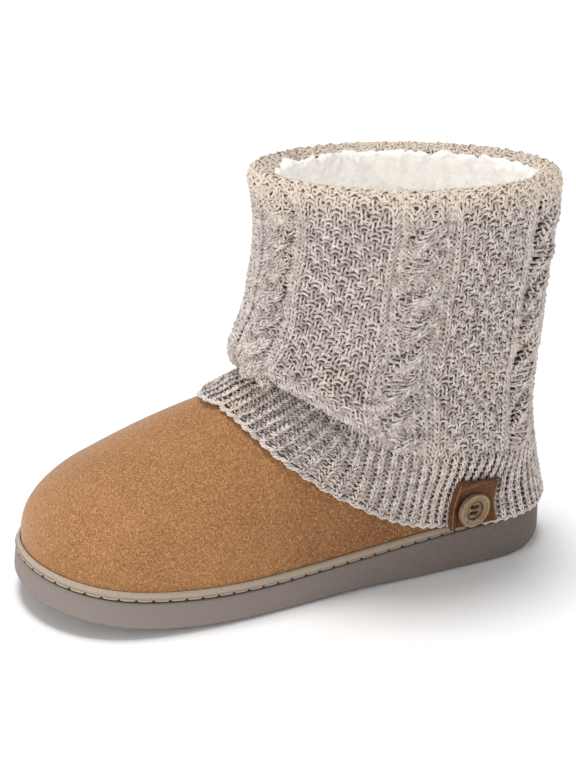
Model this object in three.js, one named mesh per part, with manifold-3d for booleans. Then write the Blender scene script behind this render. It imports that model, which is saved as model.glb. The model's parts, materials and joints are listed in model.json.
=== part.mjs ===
import * as THREE from 'three';
import Module from 'manifold-3d';
import { mergeVertices } from 'three/addons/utils/BufferGeometryUtils.js';

// Left bootie slipper, in millimetres. X runs from the toe (-) to the heel (+), the outer side
// of the foot faces -Y, and the sole stands on Z = 0 with the origin under its middle.
const wasm = await Module();
wasm.setup();

// Sole
const SOLE_LENGTH = 262;
const BALL_WIDTH = 98.5;
const HEEL_THICKNESS = 20.3;
const BALL_THICKNESS = 13.5;
const TOE_THICKNESS = 12.2;
const TOE_SPRING = 10.4;
const HEEL_BEVEL = 3.8;
const ARCH_RELIEF = 1.2;
const SOLE_EDGE_RADIUS = 2.2;
const SOLE_SIDE_SWELL = 0.9;
const GROOVE_DEPTH = 1.3;

// Where the sole's wedge, heel bevel, arch and toe spring lie, as shares of its length
const WEDGE_START = 0.15;
const WEDGE_END = 0.62;
const HEEL_BEVEL_END = 0.14;
const ARCH_START = 0.36;
const ARCH_END = 0.52;
const TOE_SPRING_START = 0.627;

// Welt, the smooth band above the groove
const WELT_HEIGHT = 4;
const WELT_THICKNESS = 1.8;
const WELT_INSET = 0.4;

// Upper and insole
const INSTEP_HEIGHT = 84;
const UPPER_WALL = 2.2;
const INSOLE_THICKNESS = 4.5;
const INSOLE_DISH = 1.2;
const INSOLE_EASE = 1.1;

// Knit shaft
const COLLAR_HEIGHT = 185.2;
const SHAFT_LENGTH = 146;
const SHAFT_WIDTH = 120;
const SHAFT_CENTRE = 48;
const KNIT_WALL = 3.2;
const COLLAR_ROLL = 7;
const COLLAR_TILT = 0.9;
const CABLE_RISE = 1.6;
const CABLE_WIDTH = 16;
const CABLE_REPEATS = 6;
const FRONT_CABLE_TURN = 166;

// Button tab and button
const TAB_WIDTH = 22.5;
const TAB_LENGTH = 25;
const TAB_THICKNESS = 1.6;
const TAB_TURN = 71;
const BUTTON_DIAMETER = 16;
const BUTTON_THICKNESS = 3.2;
const BUTTON_EDGE_RADIUS = 0.8;
const BUTTON_DISH_DIAMETER = 8.6;
const BUTTON_DISH_DEPTH = 1.2;
const BUTTON_HOLE_DIAMETER = 1.9;
const BUTTON_HOLE_SPACING = 3;
const BUTTON_RISE = 10.4;

// Gaps between neighbours
const CLEARANCE = 0.35;
const UPPER_CLEARANCE = 0.45;
const KNIT_CLEARANCE = 0.95;
const TAB_CLEARANCE = 0.55;

// How far the knit's outer face stands off the upper where it lies on it
const KNIT_PROUD = KNIT_WALL + KNIT_CLEARANCE;

// Facets around the foot, the button and its holes, and across and up the tab
const SOLE_STEPS = 64;
const UPPER_STEPS = 64;
const BUTTON_STEPS = 24;
const HOLE_STEPS = 8;
const TAB_COLUMNS = 6;
const TAB_ROWS = 4;

// A table as rows of named columns.
function table(columns, rows) {
  const names = columns.split(' ');
  return rows.map((row) => Object.fromEntries(names.map((name, i) => [name, row[i]])));
}

// Footprint of the sole: half width over the sine of the turn, as a share of the ball width.
// The turn is 0 degrees at the heel and 180 at the toe.
const FOOTPRINT = [
  { turn: 0, outer: 0.521, inner: 0.521 },
  { turn: 30, outer: 0.597, inner: 0.541 },
  { turn: 60, outer: 0.466, inner: 0.466 },
  { turn: 90, outer: 0.453, inner: 0.404 },
  { turn: 120, outer: 0.597, inner: 0.558 },
  { turn: 150, outer: 0.791, inner: 0.787 },
  { turn: 180, outer: 0.875, inner: 0.875 },
];

// Sections of the upper from its lasting edge to its throat. Setbacks are shares of the sole's
// length, rises and half widths are shares of the instep height and the ball width, "footprint"
// is how much a section keeps of the sole's outline, "nose" narrows its front, and "follow" is
// how much it bends with the sole's top line.
const UPPER_SECTIONS = table('climb toeBack toeRise heelBack heelRise width footprint nose follow', [
  [0, 0, 0, 0, 0, 0.5, 1, 0, 1],
  [0.08, 0, 0.052, 0, 0.05, 0.5, 1, 0, 1],
  [0.17, 0.001, 0.135, 0.01, 0.13, 0.5, 1, 0, 0.95],
  [0.28, 0.014, 0.24, 0.021, 0.24, 0.49, 0.94, 0.02, 0.8],
  [0.39, 0.048, 0.35, 0.032, 0.36, 0.465, 0.78, 0.12, 0.6],
  [0.51, 0.108, 0.463, 0.041, 0.48, 0.441, 0.56, 0.25, 0.4],
  [0.64, 0.195, 0.594, 0.046, 0.6, 0.418, 0.32, 0.37, 0.2],
  [0.78, 0.285, 0.693, 0.049, 0.71, 0.392, 0.12, 0.42, 0.05],
  [0.9, 0.338, 0.744, 0.05, 0.765, 0.372, 0.05, 0.42, 0],
  [1, 0.36, 0.766, 0.051, 0.8, 0.36, 0.02, 0.4, 0],
]);

// The hem's height around the shaft, as a share of the height from the welt to the collar. The
// turn is 0 degrees at the heel and 180 at the front, where the hem lies high on the instep.
const HEM_LINE = [
  { turn: 0, rise: 0 },
  { turn: 60, rise: 0 },
  { turn: 75, rise: 0.004 },
  { turn: 90, rise: 0.022 },
  { turn: 100, rise: 0.055 },
  { turn: 110, rise: 0.106 },
  { turn: 120, rise: 0.18 },
  { turn: 130, rise: 0.268 },
  { turn: 140, rise: 0.333 },
  { turn: 150, rise: 0.375 },
  { turn: 165, rise: 0.41 },
  { turn: 180, rise: 0.42 },
];

// Rows of the knit shaft from its hem to its collar. Reaches are shares of the shaft's length
// and width, and rises are shares of the height from the welt to the collar. Below the fold the
// rows are spaced evenly from the hem line to the fold.
const SHAFT_ROWS = table('climb frontReach frontRise sideReach sideRise backReach backRise', [
  [0, 0.632, 0.42, 0.41, 0.022, 0.568, 0],
  [0.07, 0.585, 0.415, 0.415, 0.115, 0.535, 0.067],
  [0.14, 0.522, 0.452, 0.418, 0.185, 0.515, 0.137],
  [0.2, 0.472, 0.474, 0.42, 0.243, 0.51, 0.197],
  [0.26, 0.51, 0.467, 0.423, 0.302, 0.501, 0.257],
  [0.32, 0.545, 0.482, 0.425, 0.36, 0.494, 0.317],
  [0.38, 0.556, 0.522, 0.428, 0.418, 0.489, 0.378],
  [0.45, 0.538, 0.572, 0.433, 0.484, 0.488, 0.448],
  [0.54, 0.504, 0.642, 0.441, 0.569, 0.489, 0.539],
  [0.66, 0.486, 0.733, 0.454, 0.681, 0.493, 0.66],
  [0.8, 0.476, 0.84, 0.472, 0.812, 0.497, 0.8],
  [0.91, 0.484, 0.92, 0.487, 0.912, 0.504, 0.91],
]);

// Steps up the sole's side, and its upper edge, which turns in to the groove. Shares of the
// side's height and of the groove's depth.
const SOLE_SIDE_STEPS = [0.3, 0.7];
const GROOVE_SECTION = [
  { inward: 0.35, down: 0.45 },
  { inward: 1, down: 0 },
];

// The welt's face, in shares of its thickness and height
const WELT_SECTION = [
  { inward: 0, up: 0.25 },
  { inward: 0, up: 0.65 },
  { inward: 0.35, up: 0.92 },
  { inward: 0.8, up: 1 },
  { inward: 1, up: 0.91 },
];

// The insole's rounded edge, in shares of its thickness and of its dish
const INSOLE_SECTION = [
  { inward: 0.1, up: 0, dish: 0 },
  { inward: 0, up: 0.15, dish: 0 },
  { inward: 0, up: 0.8, dish: 0 },
  { inward: 0.4, up: 1, dish: 0 },
  { inward: 4, up: 1, dish: 1 },
];

// The rolled collar, in shares of its roll
const COLLAR_SECTION = [
  { inward: 0, down: 0.8 },
  { inward: 0.08, down: 0.35 },
  { inward: 0.35, down: 0.04 },
  { inward: 0.7, down: 0 },
  { inward: 1.1, down: 0.3 },
  { inward: 1.25, down: 0.9 },
];

// Half of a cable's ridge from its crown, in shares of its half width and rise, and the columns
// of plain wall between two cables
const CABLE_SECTION = [
  { across: 0, rise: 1 },
  { across: 0.6, rise: 0.85 },
  { across: 1, rise: 0 },
];
const PLAIN_COLUMNS = [0.1, 0.3, 0.5, 0.7, 0.9];

// Hand-placed dents and swells of the knit: where they lie, how far they spread, how far they
// push the wall out as a share of its thickness, and how far they lift it.
const SHAFT_DENTS = [
  { turn: 150, climb: 0.32, turnSpan: 26, climbSpan: 0.09, out: 0.1, lift: 1.3 },
  { turn: 205, climb: 0.3, turnSpan: 22, climbSpan: 0.09, out: 0, lift: -0.4 },
  { turn: 128, climb: 0.36, turnSpan: 26, climbSpan: 0.05, out: 0.75, lift: -0.2 },
  { turn: 128, climb: 0.25, turnSpan: 26, climbSpan: 0.045, out: -0.3, lift: 0.1 },
  { turn: 232, climb: 0.36, turnSpan: 26, climbSpan: 0.05, out: 0.6, lift: -0.2 },
  { turn: 232, climb: 0.25, turnSpan: 26, climbSpan: 0.045, out: -0.3, lift: 0.1 },
];

// Steps of the searches on the upper, and of the slopes that normals are taken from
const BISECTIONS = 16;
const SEAT_ROUNDS = 2;
const NORMAL_STEP = 0.004;

// Which rows of the shaft lie on the upper, which are free of it and which can touch it
const FIRST_ROW_SEATED = 0.05;
const LAST_ROW_SEATED = 0.2;
const LAST_ROW_TOUCHING = 0.5;
const FOLD_CLIMB = 0.2;

// Where the cable ridges start above the ribbed hem, and where they are full
const RIDGE_START = 0.18;
const RIDGE_FULL = 0.26;

// How the upper narrows to its nose, and how a row of the shaft climbs to the front and back
const NOSE_POWER = 1.5;
const FRONT_POWER = 1.6;
const BACK_SPREAD = 0.7;

const rad = THREE.MathUtils.degToRad;
const lerp = THREE.MathUtils.lerp;
const clamp = THREE.MathUtils.clamp;

function smoothStep(value, low, high) {
  return THREE.MathUtils.smoothstep(value, low, high);
}

// Cubic interpolation of one column of a table whose rows are sorted by their key.
function readTable(rows, key, column, at) {
  const last = rows.length - 1;
  const value = clamp(at, rows[0][key], rows[last][key]);
  let i = 0;
  while (i < last - 1 && value > rows[i + 1][key]) i += 1;
  const slope = (k) => {
    const a = rows[Math.max(k - 1, 0)];
    const b = rows[Math.min(k + 1, last)];
    return (b[column] - a[column]) / (b[key] - a[key]);
  };
  const span = rows[i + 1][key] - rows[i][key];
  const t = (value - rows[i][key]) / span;
  const t2 = t * t;
  const t3 = t2 * t;
  return (
    (2 * t3 - 3 * t2 + 1) * rows[i][column] +
    (t3 - 2 * t2 + t) * span * slope(i) +
    (3 * t2 - 2 * t3) * rows[i + 1][column] +
    (t3 - t2) * span * slope(i + 1)
  );
}

// The turn of the outer side that mirrors this one, in degrees from 0 to 180.
function foldTurn(turn) {
  const degrees = THREE.MathUtils.euclideanModulo(THREE.MathUtils.radToDeg(turn), 360);
  return degrees <= 180 ? degrees : 360 - degrees;
}

function sideOf(turn) {
  return Math.sin(turn) >= 0 ? 'outer' : 'inner';
}

function footprintShare(turn) {
  return readTable(FOOTPRINT, 'turn', sideOf(turn), foldTurn(turn));
}

function footprint(turn, inset) {
  const x = (SOLE_LENGTH / 2 - inset) * Math.cos(turn);
  const y = -(BALL_WIDTH * footprintShare(turn) - inset) * Math.sin(turn);
  return { x, y };
}

// Share of the sole's length from the heel, 0, to the toe, 1.
function soleShare(x) {
  return clamp(0.5 - x / SOLE_LENGTH, 0, 1);
}

function toeCurl(x) {
  const past = clamp((soleShare(x) - TOE_SPRING_START) / (1 - TOE_SPRING_START), 0, 1);
  return past * past;
}

function soleBottom(x) {
  const heel = clamp((HEEL_BEVEL_END - soleShare(x)) / HEEL_BEVEL_END, 0, 1);
  const arch = clamp((soleShare(x) - ARCH_START) / (ARCH_END - ARCH_START), 0, 1);
  return TOE_SPRING * toeCurl(x) + HEEL_BEVEL * heel * heel + ARCH_RELIEF * Math.sin(Math.PI * arch) ** 2;
}

function soleTop(x) {
  const wedge = lerp(HEEL_THICKNESS, BALL_THICKNESS, smoothStep(soleShare(x), WEDGE_START, WEDGE_END));
  return wedge + (TOE_SPRING + TOE_THICKNESS - BALL_THICKNESS) * toeCurl(x);
}

function weltTop(x) {
  return soleTop(x) + WELT_HEIGHT;
}

const UPPER_INSET = WELT_INSET + WELT_THICKNESS + UPPER_CLEARANCE;

// A point of the upper's outer face. The turn goes around the foot, the climb from edge to throat.
function upperPoint(turn, climb) {
  const row = (column) => readTable(UPPER_SECTIONS, 'climb', column, climb);
  const toeX = -SOLE_LENGTH / 2 + UPPER_INSET + row('toeBack') * SOLE_LENGTH;
  const heelX = SOLE_LENGTH / 2 - UPPER_INSET - row('heelBack') * SOLE_LENGTH;
  const x = (toeX + heelX) / 2 + ((heelX - toeX) / 2) * Math.cos(turn);
  const forward = (1 - Math.cos(turn)) / 2;
  const keep = row('footprint');
  const flat = BALL_WIDTH * footprintShare(turn) - UPPER_INSET;
  const round = BALL_WIDTH * row('width') * (1 - row('nose') * forward ** NOSE_POWER);
  const y = -Math.sin(turn) * lerp(round, flat, keep);
  const level = lerp(soleTop(SOLE_LENGTH / 2), soleTop(-SOLE_LENGTH / 2), forward);
  const base = lerp(level, soleTop(x), row('follow'));
  const rise = lerp(row('heelRise'), row('toeRise'), forward) * INSTEP_HEIGHT;
  return new THREE.Vector3(x, y, base + CLEARANCE + rise);
}

// The outward normal of a surface given as a function of turn and climb.
function outwardNormal(surface, turn, climb) {
  const low = Math.max(climb - NORMAL_STEP, 0);
  const high = Math.min(climb + NORMAL_STEP, 1);
  const around = surface(turn + NORMAL_STEP, climb).sub(surface(turn - NORMAL_STEP, climb));
  const along = surface(turn, high).sub(surface(turn, low));
  return along.cross(around).normalize();
}

// The angle of a point around the shaft's axis, positive on the outer side.
function bearing(point) {
  return Math.atan2(-point.y, point.x - SHAFT_CENTRE);
}

// The upper's outer face at a given height, straight in from a point near it.
function upperBelow(near) {
  const side = near.y > 0 ? -1 : 1;
  const wanted = Math.abs(bearing(near));
  const turnAtBearing = (climb) => {
    let low = 0;
    let high = Math.PI;
    for (let i = 0; i < BISECTIONS; i += 1) {
      const middle = (low + high) / 2;
      if (Math.abs(bearing(upperPoint(side * middle, climb))) < wanted) low = middle;
      else high = middle;
    }
    return (side * (low + high)) / 2;
  };
  let low = 0;
  let high = 1;
  for (let i = 0; i < BISECTIONS; i += 1) {
    const middle = (low + high) / 2;
    if (upperPoint(turnAtBearing(middle), middle).z < near.z) low = middle;
    else high = middle;
  }
  const climb = (low + high) / 2;
  const turn = turnAtBearing(climb);
  return { point: upperPoint(turn, climb), normal: outwardNormal(upperPoint, turn, climb) };
}

// The top of the collar, which is higher at the heel.
function collarHeight(x) {
  return COLLAR_HEIGHT + (COLLAR_TILT * (x - SHAFT_CENTRE)) / (SHAFT_LENGTH / 2);
}

// How high a row lies at a turn, as a share of the height from the welt to the collar.
function shaftRise(turn, climb) {
  if (climb < FOLD_CLIMB) {
    const hem = readTable(HEM_LINE, 'turn', 'rise', foldTurn(turn));
    return lerp(hem, shaftRise(turn, FOLD_CLIMB), climb / FOLD_CLIMB);
  }
  const row = (column) => readTable(SHAFT_ROWS, 'climb', column, climb);
  const cos = Math.cos(turn);
  if (cos > 0) return lerp(row('sideRise'), row('backRise'), smoothStep(cos, 0, BACK_SPREAD));
  return lerp(row('sideRise'), row('frontRise'), Math.abs(cos) ** FRONT_POWER);
}

// The wall's shape from the tables alone.
function shaftRowPoint(turn, climb) {
  const row = (column) => readTable(SHAFT_ROWS, 'climb', column, climb);
  const reach = row(Math.cos(turn) > 0 ? 'backReach' : 'frontReach') * SHAFT_LENGTH;
  const x = SHAFT_CENTRE + reach * Math.cos(turn);
  const y = -row('sideReach') * SHAFT_WIDTH * Math.sin(turn);
  const base = weltTop(x) + 2 * CLEARANCE;
  return new THREE.Vector3(x, y, lerp(base, collarHeight(x), shaftRise(turn, climb)));
}

// A point of the knit's outer face where it lies on the upper, at the height of a point near it.
function seatedPoint(near) {
  let seat = upperBelow(near);
  for (let i = 0; i < SEAT_ROUNDS; i += 1) {
    seat = upperBelow(near.clone().setZ(near.z - KNIT_PROUD * seat.normal.z));
  }
  return seat.point.addScaledVector(seat.normal, KNIT_PROUD);
}

// Moves a point of the knit's outer face out until its wall clears the upper.
function clearOfUpper(point) {
  const seat = upperBelow(point);
  const above = clamp((point.z - seat.point.z) / KNIT_PROUD, 0, 1);
  const depth = point.clone().sub(seat.point).dot(seat.normal);
  const short = KNIT_PROUD * Math.sqrt(1 - above * above) - depth;
  return above < 1 && short > 0 ? point.addScaledVector(seat.normal, short) : point;
}

// The shaft's outer face: its hem lies on the upper, and its dents are pressed into the rows.
function shaftPoint(turn, climb) {
  const point = shaftRowPoint(turn, climb);
  const centre = new THREE.Vector3(SHAFT_CENTRE, 0, point.z);
  const outward = point.clone().sub(centre).normalize();
  for (const dent of SHAFT_DENTS) {
    const apart = THREE.MathUtils.radToDeg(turn) - dent.turn;
    const away = (THREE.MathUtils.euclideanModulo(apart + 180, 360) - 180) / dent.turnSpan;
    const above = (climb - dent.climb) / dent.climbSpan;
    const amount = KNIT_WALL * Math.exp(-away * away - above * above);
    point.addScaledVector(outward, dent.out * amount);
    point.z += dent.lift * amount;
  }
  if (climb > LAST_ROW_TOUCHING) return point;
  if (climb < LAST_ROW_SEATED) {
    point.lerp(seatedPoint(point), 1 - smoothStep(climb, FIRST_ROW_SEATED, LAST_ROW_SEATED));
  }
  return clearOfUpper(point);
}

// Joins rings of equal length into a closed mesh. The rings close on each other, or their ends
// are closed by strips that run across the foot from one side to the other.
function loft(rings, ends) {
  const count = rings[0].length;
  const positions = rings.flat().flatMap((point) => [point.x, point.y, point.z]);
  const faces = [];
  const spans = ends === 'joined' ? rings.length : rings.length - 1;
  for (let r = 0; r < spans; r += 1) {
    const lower = r * count;
    const upper = ((r + 1) % rings.length) * count;
    for (let i = 0; i < count; i += 1) {
      const j = (i + 1) % count;
      faces.push([lower + i, upper + i, lower + j], [lower + j, upper + i, upper + j]);
    }
  }
  if (ends === 'capped') {
    const top = (rings.length - 1) * count;
    for (let i = 0; i < count / 2; i += 1) {
      const across = [i, i + 1, count - i - 1, (count - i) % count];
      const [a, b, c, d] = across;
      if (a !== d) faces.push([a, b, d], [top + a, top + d, top + b]);
      if (b !== c) faces.push([b, c, d], [top + b, top + d, top + c]);
    }
  }
  const geometry = new THREE.BufferGeometry();
  geometry.setAttribute('position', new THREE.Float32BufferAttribute(positions, 3));
  geometry.setIndex(faces.flat());
  geometry.computeVertexNormals();
  return geometry;
}

function turns(count) {
  return Array.from({ length: count }, (_, i) => (2 * Math.PI * i) / count);
}

// One ring of the sole or welt: an inset from the footprint at a height that follows x.
function footRing(inset, heightAt) {
  return turns(SOLE_STEPS).map((turn) => {
    const { x, y } = footprint(turn, inset);
    return new THREE.Vector3(x, y, heightAt(x));
  });
}

function outsoleGeometry() {
  const edge = SOLE_EDGE_RADIUS;
  const rounded = [0, 30, 60, 90].map(rad).map((angle) =>
    footRing(
      edge - (edge + SOLE_SIDE_SWELL) * Math.sin(angle),
      (x) => soleBottom(x) + edge * (1 - Math.cos(angle)),
    ),
  );
  const side = SOLE_SIDE_STEPS.map((share) =>
    footRing(-SOLE_SIDE_SWELL * (1 - share), (x) => lerp(soleBottom(x) + edge, soleTop(x), share)),
  );
  const groove = GROOVE_SECTION.map(({ inward, down }) =>
    footRing(inward * GROOVE_DEPTH, (x) => soleTop(x) - down * GROOVE_DEPTH),
  );
  return loft([...rounded, ...side, ...groove], 'capped');
}

function weltGeometry() {
  const bottom = (x) => soleTop(x) + CLEARANCE;
  const face = WELT_SECTION.map(({ inward, up }) =>
    footRing(WELT_INSET + inward * WELT_THICKNESS, (x) => soleTop(x) + up * WELT_HEIGHT),
  );
  const rings = [footRing(GROOVE_DEPTH, bottom), ...face, footRing(WELT_INSET + WELT_THICKNESS, bottom)];
  return loft(rings, 'joined');
}

function insoleGeometry() {
  const inset = UPPER_INSET + UPPER_WALL + INSOLE_EASE;
  const rings = INSOLE_SECTION.map(({ inward, up, dish }) =>
    footRing(
      inset + inward * INSOLE_THICKNESS,
      (x) => soleTop(x) + CLEARANCE + up * INSOLE_THICKNESS - dish * INSOLE_DISH,
    ),
  );
  return loft(rings, 'capped');
}

// The climbs of a table's rows, with one more halfway along each span from first to last.
function levelsOf(rows, first, last) {
  const climbs = rows.map((row) => row.climb);
  const middles = climbs.slice(first, last).map((climb, i) => (climb + climbs[first + 1 + i]) / 2);
  return [...climbs, ...middles].sort((a, b) => a - b);
}

function upperGeometry() {
  const levels = levelsOf(UPPER_SECTIONS, 4, 8);
  const outer = levels.map((climb) => turns(UPPER_STEPS).map((turn) => upperPoint(turn, climb)));
  const inner = levels.map((climb) =>
    turns(UPPER_STEPS).map((turn) => {
      const normal = outwardNormal(upperPoint, turn, climb);
      if (climb === 0) normal.setZ(0).normalize();
      return upperPoint(turn, climb).addScaledVector(normal, -UPPER_WALL);
    }),
  );
  return loft([...outer, ...inner.reverse()], 'joined');
}

// The turn at a share of the way around the shaft, counted from the front cable.
function turnAround(share) {
  const steps = 360;
  const lengths = [0];
  const at = (i) => {
    const turn = rad(FRONT_CABLE_TURN) + (2 * Math.PI * i) / steps;
    return new THREE.Vector2((SHAFT_LENGTH / 2) * Math.cos(turn), (SHAFT_WIDTH / 2) * Math.sin(turn));
  };
  for (let i = 1; i <= steps; i += 1) lengths.push(lengths[i - 1] + at(i).distanceTo(at(i - 1)));
  const target = THREE.MathUtils.euclideanModulo(share, 1) * lengths[steps];
  const next = lengths.findIndex((length) => length > target);
  const part = (target - lengths[next - 1]) / (lengths[next] - lengths[next - 1]);
  return rad(FRONT_CABLE_TURN) + (2 * Math.PI * (next - 1 + part)) / steps;
}

// Columns of the shaft: each cable is a ridge with a flat crown, and plain wall lies between.
function shaftColumns() {
  const repeat = (Math.PI * (SHAFT_LENGTH + SHAFT_WIDTH)) / 2 / CABLE_REPEATS;
  const half = CABLE_WIDTH / 2 / repeat;
  const offsets = [
    ...CABLE_SECTION.map(({ across, rise }) => ({ share: across * half, rise })),
    ...PLAIN_COLUMNS.map((share) => ({ share: lerp(half, 1 - half, share), rise: 0 })),
    ...CABLE_SECTION.slice(1).reverse().map(({ across, rise }) => ({ share: 1 - across * half, rise })),
  ];
  const columns = [];
  for (let i = 0; i < CABLE_REPEATS; i += 1) {
    for (const { share, rise } of offsets) {
      columns.push({ turn: turnAround((i + share) / CABLE_REPEATS), rise: rise * CABLE_RISE });
    }
  }
  return columns;
}

function shaftGeometry() {
  const columns = shaftColumns();
  const levels = levelsOf(SHAFT_ROWS, 3, 7);
  const face = (climb, depth, ridge) =>
    columns.map(({ turn, rise }) => {
      const normal = outwardNormal(shaftPoint, turn, climb);
      return shaftPoint(turn, climb).addScaledVector(normal, ridge * rise - depth);
    });
  const ridge = (climb) => smoothStep(climb, RIDGE_START, RIDGE_FULL);
  const outer = levels.map((climb) => face(climb, 0, ridge(climb)));
  const inner = levels.map((climb) => face(climb, KNIT_WALL, 0));
  const collar = COLLAR_SECTION.map(({ inward, down }) =>
    columns.map(({ turn }) => {
      const x = SHAFT_CENTRE + (SHAFT_LENGTH / 2 - inward * COLLAR_ROLL) * Math.cos(turn);
      const y = -(SHAFT_WIDTH / 2 - inward * COLLAR_ROLL) * Math.sin(turn);
      return new THREE.Vector3(x, y, collarHeight(x) - down * COLLAR_ROLL);
    }),
  );
  return loft([...outer, ...collar, ...inner.reverse()], 'joined');
}

// A point of the tab, which lies on the shaft's outer face with its lower edge at the hem. It is
// given in millimetres from the tab's middle line, toward the heel, and up from the hem.
function tabPoint(across, up, lift) {
  const middle = rad(TAB_TURN);
  const high = TAB_LENGTH / (COLLAR_HEIGHT - weltTop(SHAFT_CENTRE));
  const beside = shaftPoint(middle + NORMAL_STEP, high / 2);
  const around = beside.distanceTo(shaftPoint(middle, high / 2)) / NORMAL_STEP;
  const along = shaftPoint(middle, high).distanceTo(shaftPoint(middle, 0)) / high;
  const turn = middle - across / around;
  const climb = up / along;
  return shaftPoint(turn, climb).addScaledVector(outwardNormal(shaftPoint, turn, climb), lift);
}

function tabGeometry() {
  const corners = [];
  const faces = [];
  const index = new Map();
  const vertex = (i, j, k) => {
    const key = `${i} ${j} ${k}`;
    if (!index.has(key)) {
      index.set(key, corners.length);
      const across = (i / TAB_COLUMNS - 0.5) * TAB_WIDTH;
      corners.push(tabPoint(across, (j / TAB_ROWS) * TAB_LENGTH, TAB_CLEARANCE + k * TAB_THICKNESS));
    }
    return index.get(key);
  };
  const quad = (a, b, c, d) => faces.push([a, b, c], [a, c, d]);
  for (let i = 0; i < TAB_COLUMNS; i += 1) {
    for (let j = 0; j < TAB_ROWS; j += 1) {
      quad(vertex(i, j, 1), vertex(i + 1, j, 1), vertex(i + 1, j + 1, 1), vertex(i, j + 1, 1));
      quad(vertex(i, j, 0), vertex(i, j + 1, 0), vertex(i + 1, j + 1, 0), vertex(i + 1, j, 0));
    }
  }
  const edge = [];
  for (let i = 0; i < TAB_COLUMNS; i += 1) edge.push([i, 0]);
  for (let j = 0; j < TAB_ROWS; j += 1) edge.push([TAB_COLUMNS, j]);
  for (let i = TAB_COLUMNS; i > 0; i -= 1) edge.push([i, TAB_ROWS]);
  for (let j = TAB_ROWS; j > 0; j -= 1) edge.push([0, j]);
  edge.forEach(([i, j], k) => {
    const [m, n] = edge[(k + 1) % edge.length];
    quad(vertex(i, j, 0), vertex(m, n, 0), vertex(m, n, 1), vertex(i, j, 1));
  });
  const geometry = new THREE.BufferGeometry();
  const positions = corners.flatMap((corner) => corner.toArray());
  geometry.setAttribute('position', new THREE.Float32BufferAttribute(positions, 3));
  geometry.setIndex(faces.flat());
  geometry.computeVertexNormals();
  return geometry;
}

function toSolid(geometry) {
  const bare = geometry.clone();
  bare.deleteAttribute('normal');
  bare.deleteAttribute('uv');
  const merged = mergeVertices(bare, 1e-4);
  const mesh = new wasm.Mesh({
    numProp: 3,
    vertProperties: new Float32Array(merged.attributes.position.array),
    triVerts: new Uint32Array(merged.index.array),
  });
  return new wasm.Manifold(mesh);
}

function toGeometry(solid) {
  const mesh = solid.getMesh();
  const geometry = new THREE.BufferGeometry();
  geometry.setAttribute('position', new THREE.Float32BufferAttribute(mesh.vertProperties, 3));
  geometry.setIndex(Array.from(mesh.triVerts));
  geometry.computeVertexNormals();
  return geometry;
}

// A turned button with a dished middle and four holes, its back on Z = 0.
function buttonGeometry() {
  const radius = BUTTON_DIAMETER / 2;
  const dish = BUTTON_DISH_DIAMETER / 2;
  const edge = BUTTON_EDGE_RADIUS;
  const profile = [
    [0, 0],
    [radius - edge, 0],
    [radius, edge],
    [radius, BUTTON_THICKNESS - edge],
    [radius - edge / 2, BUTTON_THICKNESS - edge / 5],
    [radius - 2 * edge, BUTTON_THICKNESS],
    [dish + edge / 2, BUTTON_THICKNESS - edge / 3],
    [dish, BUTTON_THICKNESS - BUTTON_DISH_DEPTH],
    [0, BUTTON_THICKNESS - BUTTON_DISH_DEPTH],
  ].map(([x, y]) => new THREE.Vector2(x, y));
  let solid = toSolid(new THREE.LatheGeometry(profile, BUTTON_STEPS).rotateX(Math.PI / 2));
  for (const [x, y] of [[-1, -1], [-1, 1], [1, -1], [1, 1]]) {
    const hole = new THREE.CylinderGeometry(
      BUTTON_HOLE_DIAMETER / 2,
      BUTTON_HOLE_DIAMETER / 2,
      BUTTON_THICKNESS * 3,
      HOLE_STEPS,
    );
    hole.rotateX(Math.PI / 2);
    hole.translate((x * BUTTON_HOLE_SPACING) / 2, (y * BUTTON_HOLE_SPACING) / 2, 0);
    solid = solid.subtract(toSolid(hole));
  }
  return toGeometry(solid);
}

function material(color, roughness) {
  return new THREE.MeshStandardMaterial({ color, roughness, metalness: 0 });
}

function piece(name, geometry, surface) {
  const mesh = new THREE.Mesh(geometry, surface);
  mesh.name = name;
  return mesh;
}

// The button stands clear of the tab's highest point under it.
function buttonPiece() {
  const button = piece('button', buttonGeometry(), material(0x8a7355, 0.4));
  const top = TAB_CLEARANCE + TAB_THICKNESS;
  const centre = tabPoint(0, BUTTON_RISE, top);
  const normal = tabPoint(0, BUTTON_RISE, top + 1).sub(centre);
  const rim = turns(BUTTON_STEPS).flatMap((turn) =>
    [1 / 2, 1].map((share) => {
      const reach = (share * BUTTON_DIAMETER) / 2;
      return tabPoint(reach * Math.cos(turn), BUTTON_RISE + reach * Math.sin(turn), top);
    }),
  );
  const proud = Math.max(0, ...rim.map((point) => point.sub(centre).dot(normal)));
  button.position.copy(centre).addScaledVector(normal, proud + CLEARANCE);
  button.quaternion.setFromUnitVectors(new THREE.Vector3(0, 0, 1), normal);
  return button;
}

const slipper = new THREE.Group();
slipper.add(
  piece('outsole', outsoleGeometry(), material(0x7d7166, 0.7)),
  piece('welt', weltGeometry(), material(0xa49583, 0.55)),
  piece('insole', insoleGeometry(), material(0xe9e4da, 0.9)),
  piece('upper', upperGeometry(), material(0xb9834c, 0.9)),
  piece('knit_shaft', shaftGeometry(), material(0xc6bcb2, 0.95)),
  piece('button_tab', tabGeometry(), material(0x9a6532, 0.9)),
  buttonPiece(),
);

export default slipper;
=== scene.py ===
"""Looks of a left bootie slipper: suede foot, cable-knit shaft, fleece lining, welted sole, button tab.

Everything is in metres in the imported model's frame: the toe points to -X, the outer side of the
foot faces -Y, and the sole stands on Z = 0.
"""

from __future__ import annotations

import json
import logging
import math
from dataclasses import dataclass
from enum import Enum

import bpy
import numpy as np
from mathutils import Matrix, Vector
from mathutils.bvhtree import BVHTree

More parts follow.
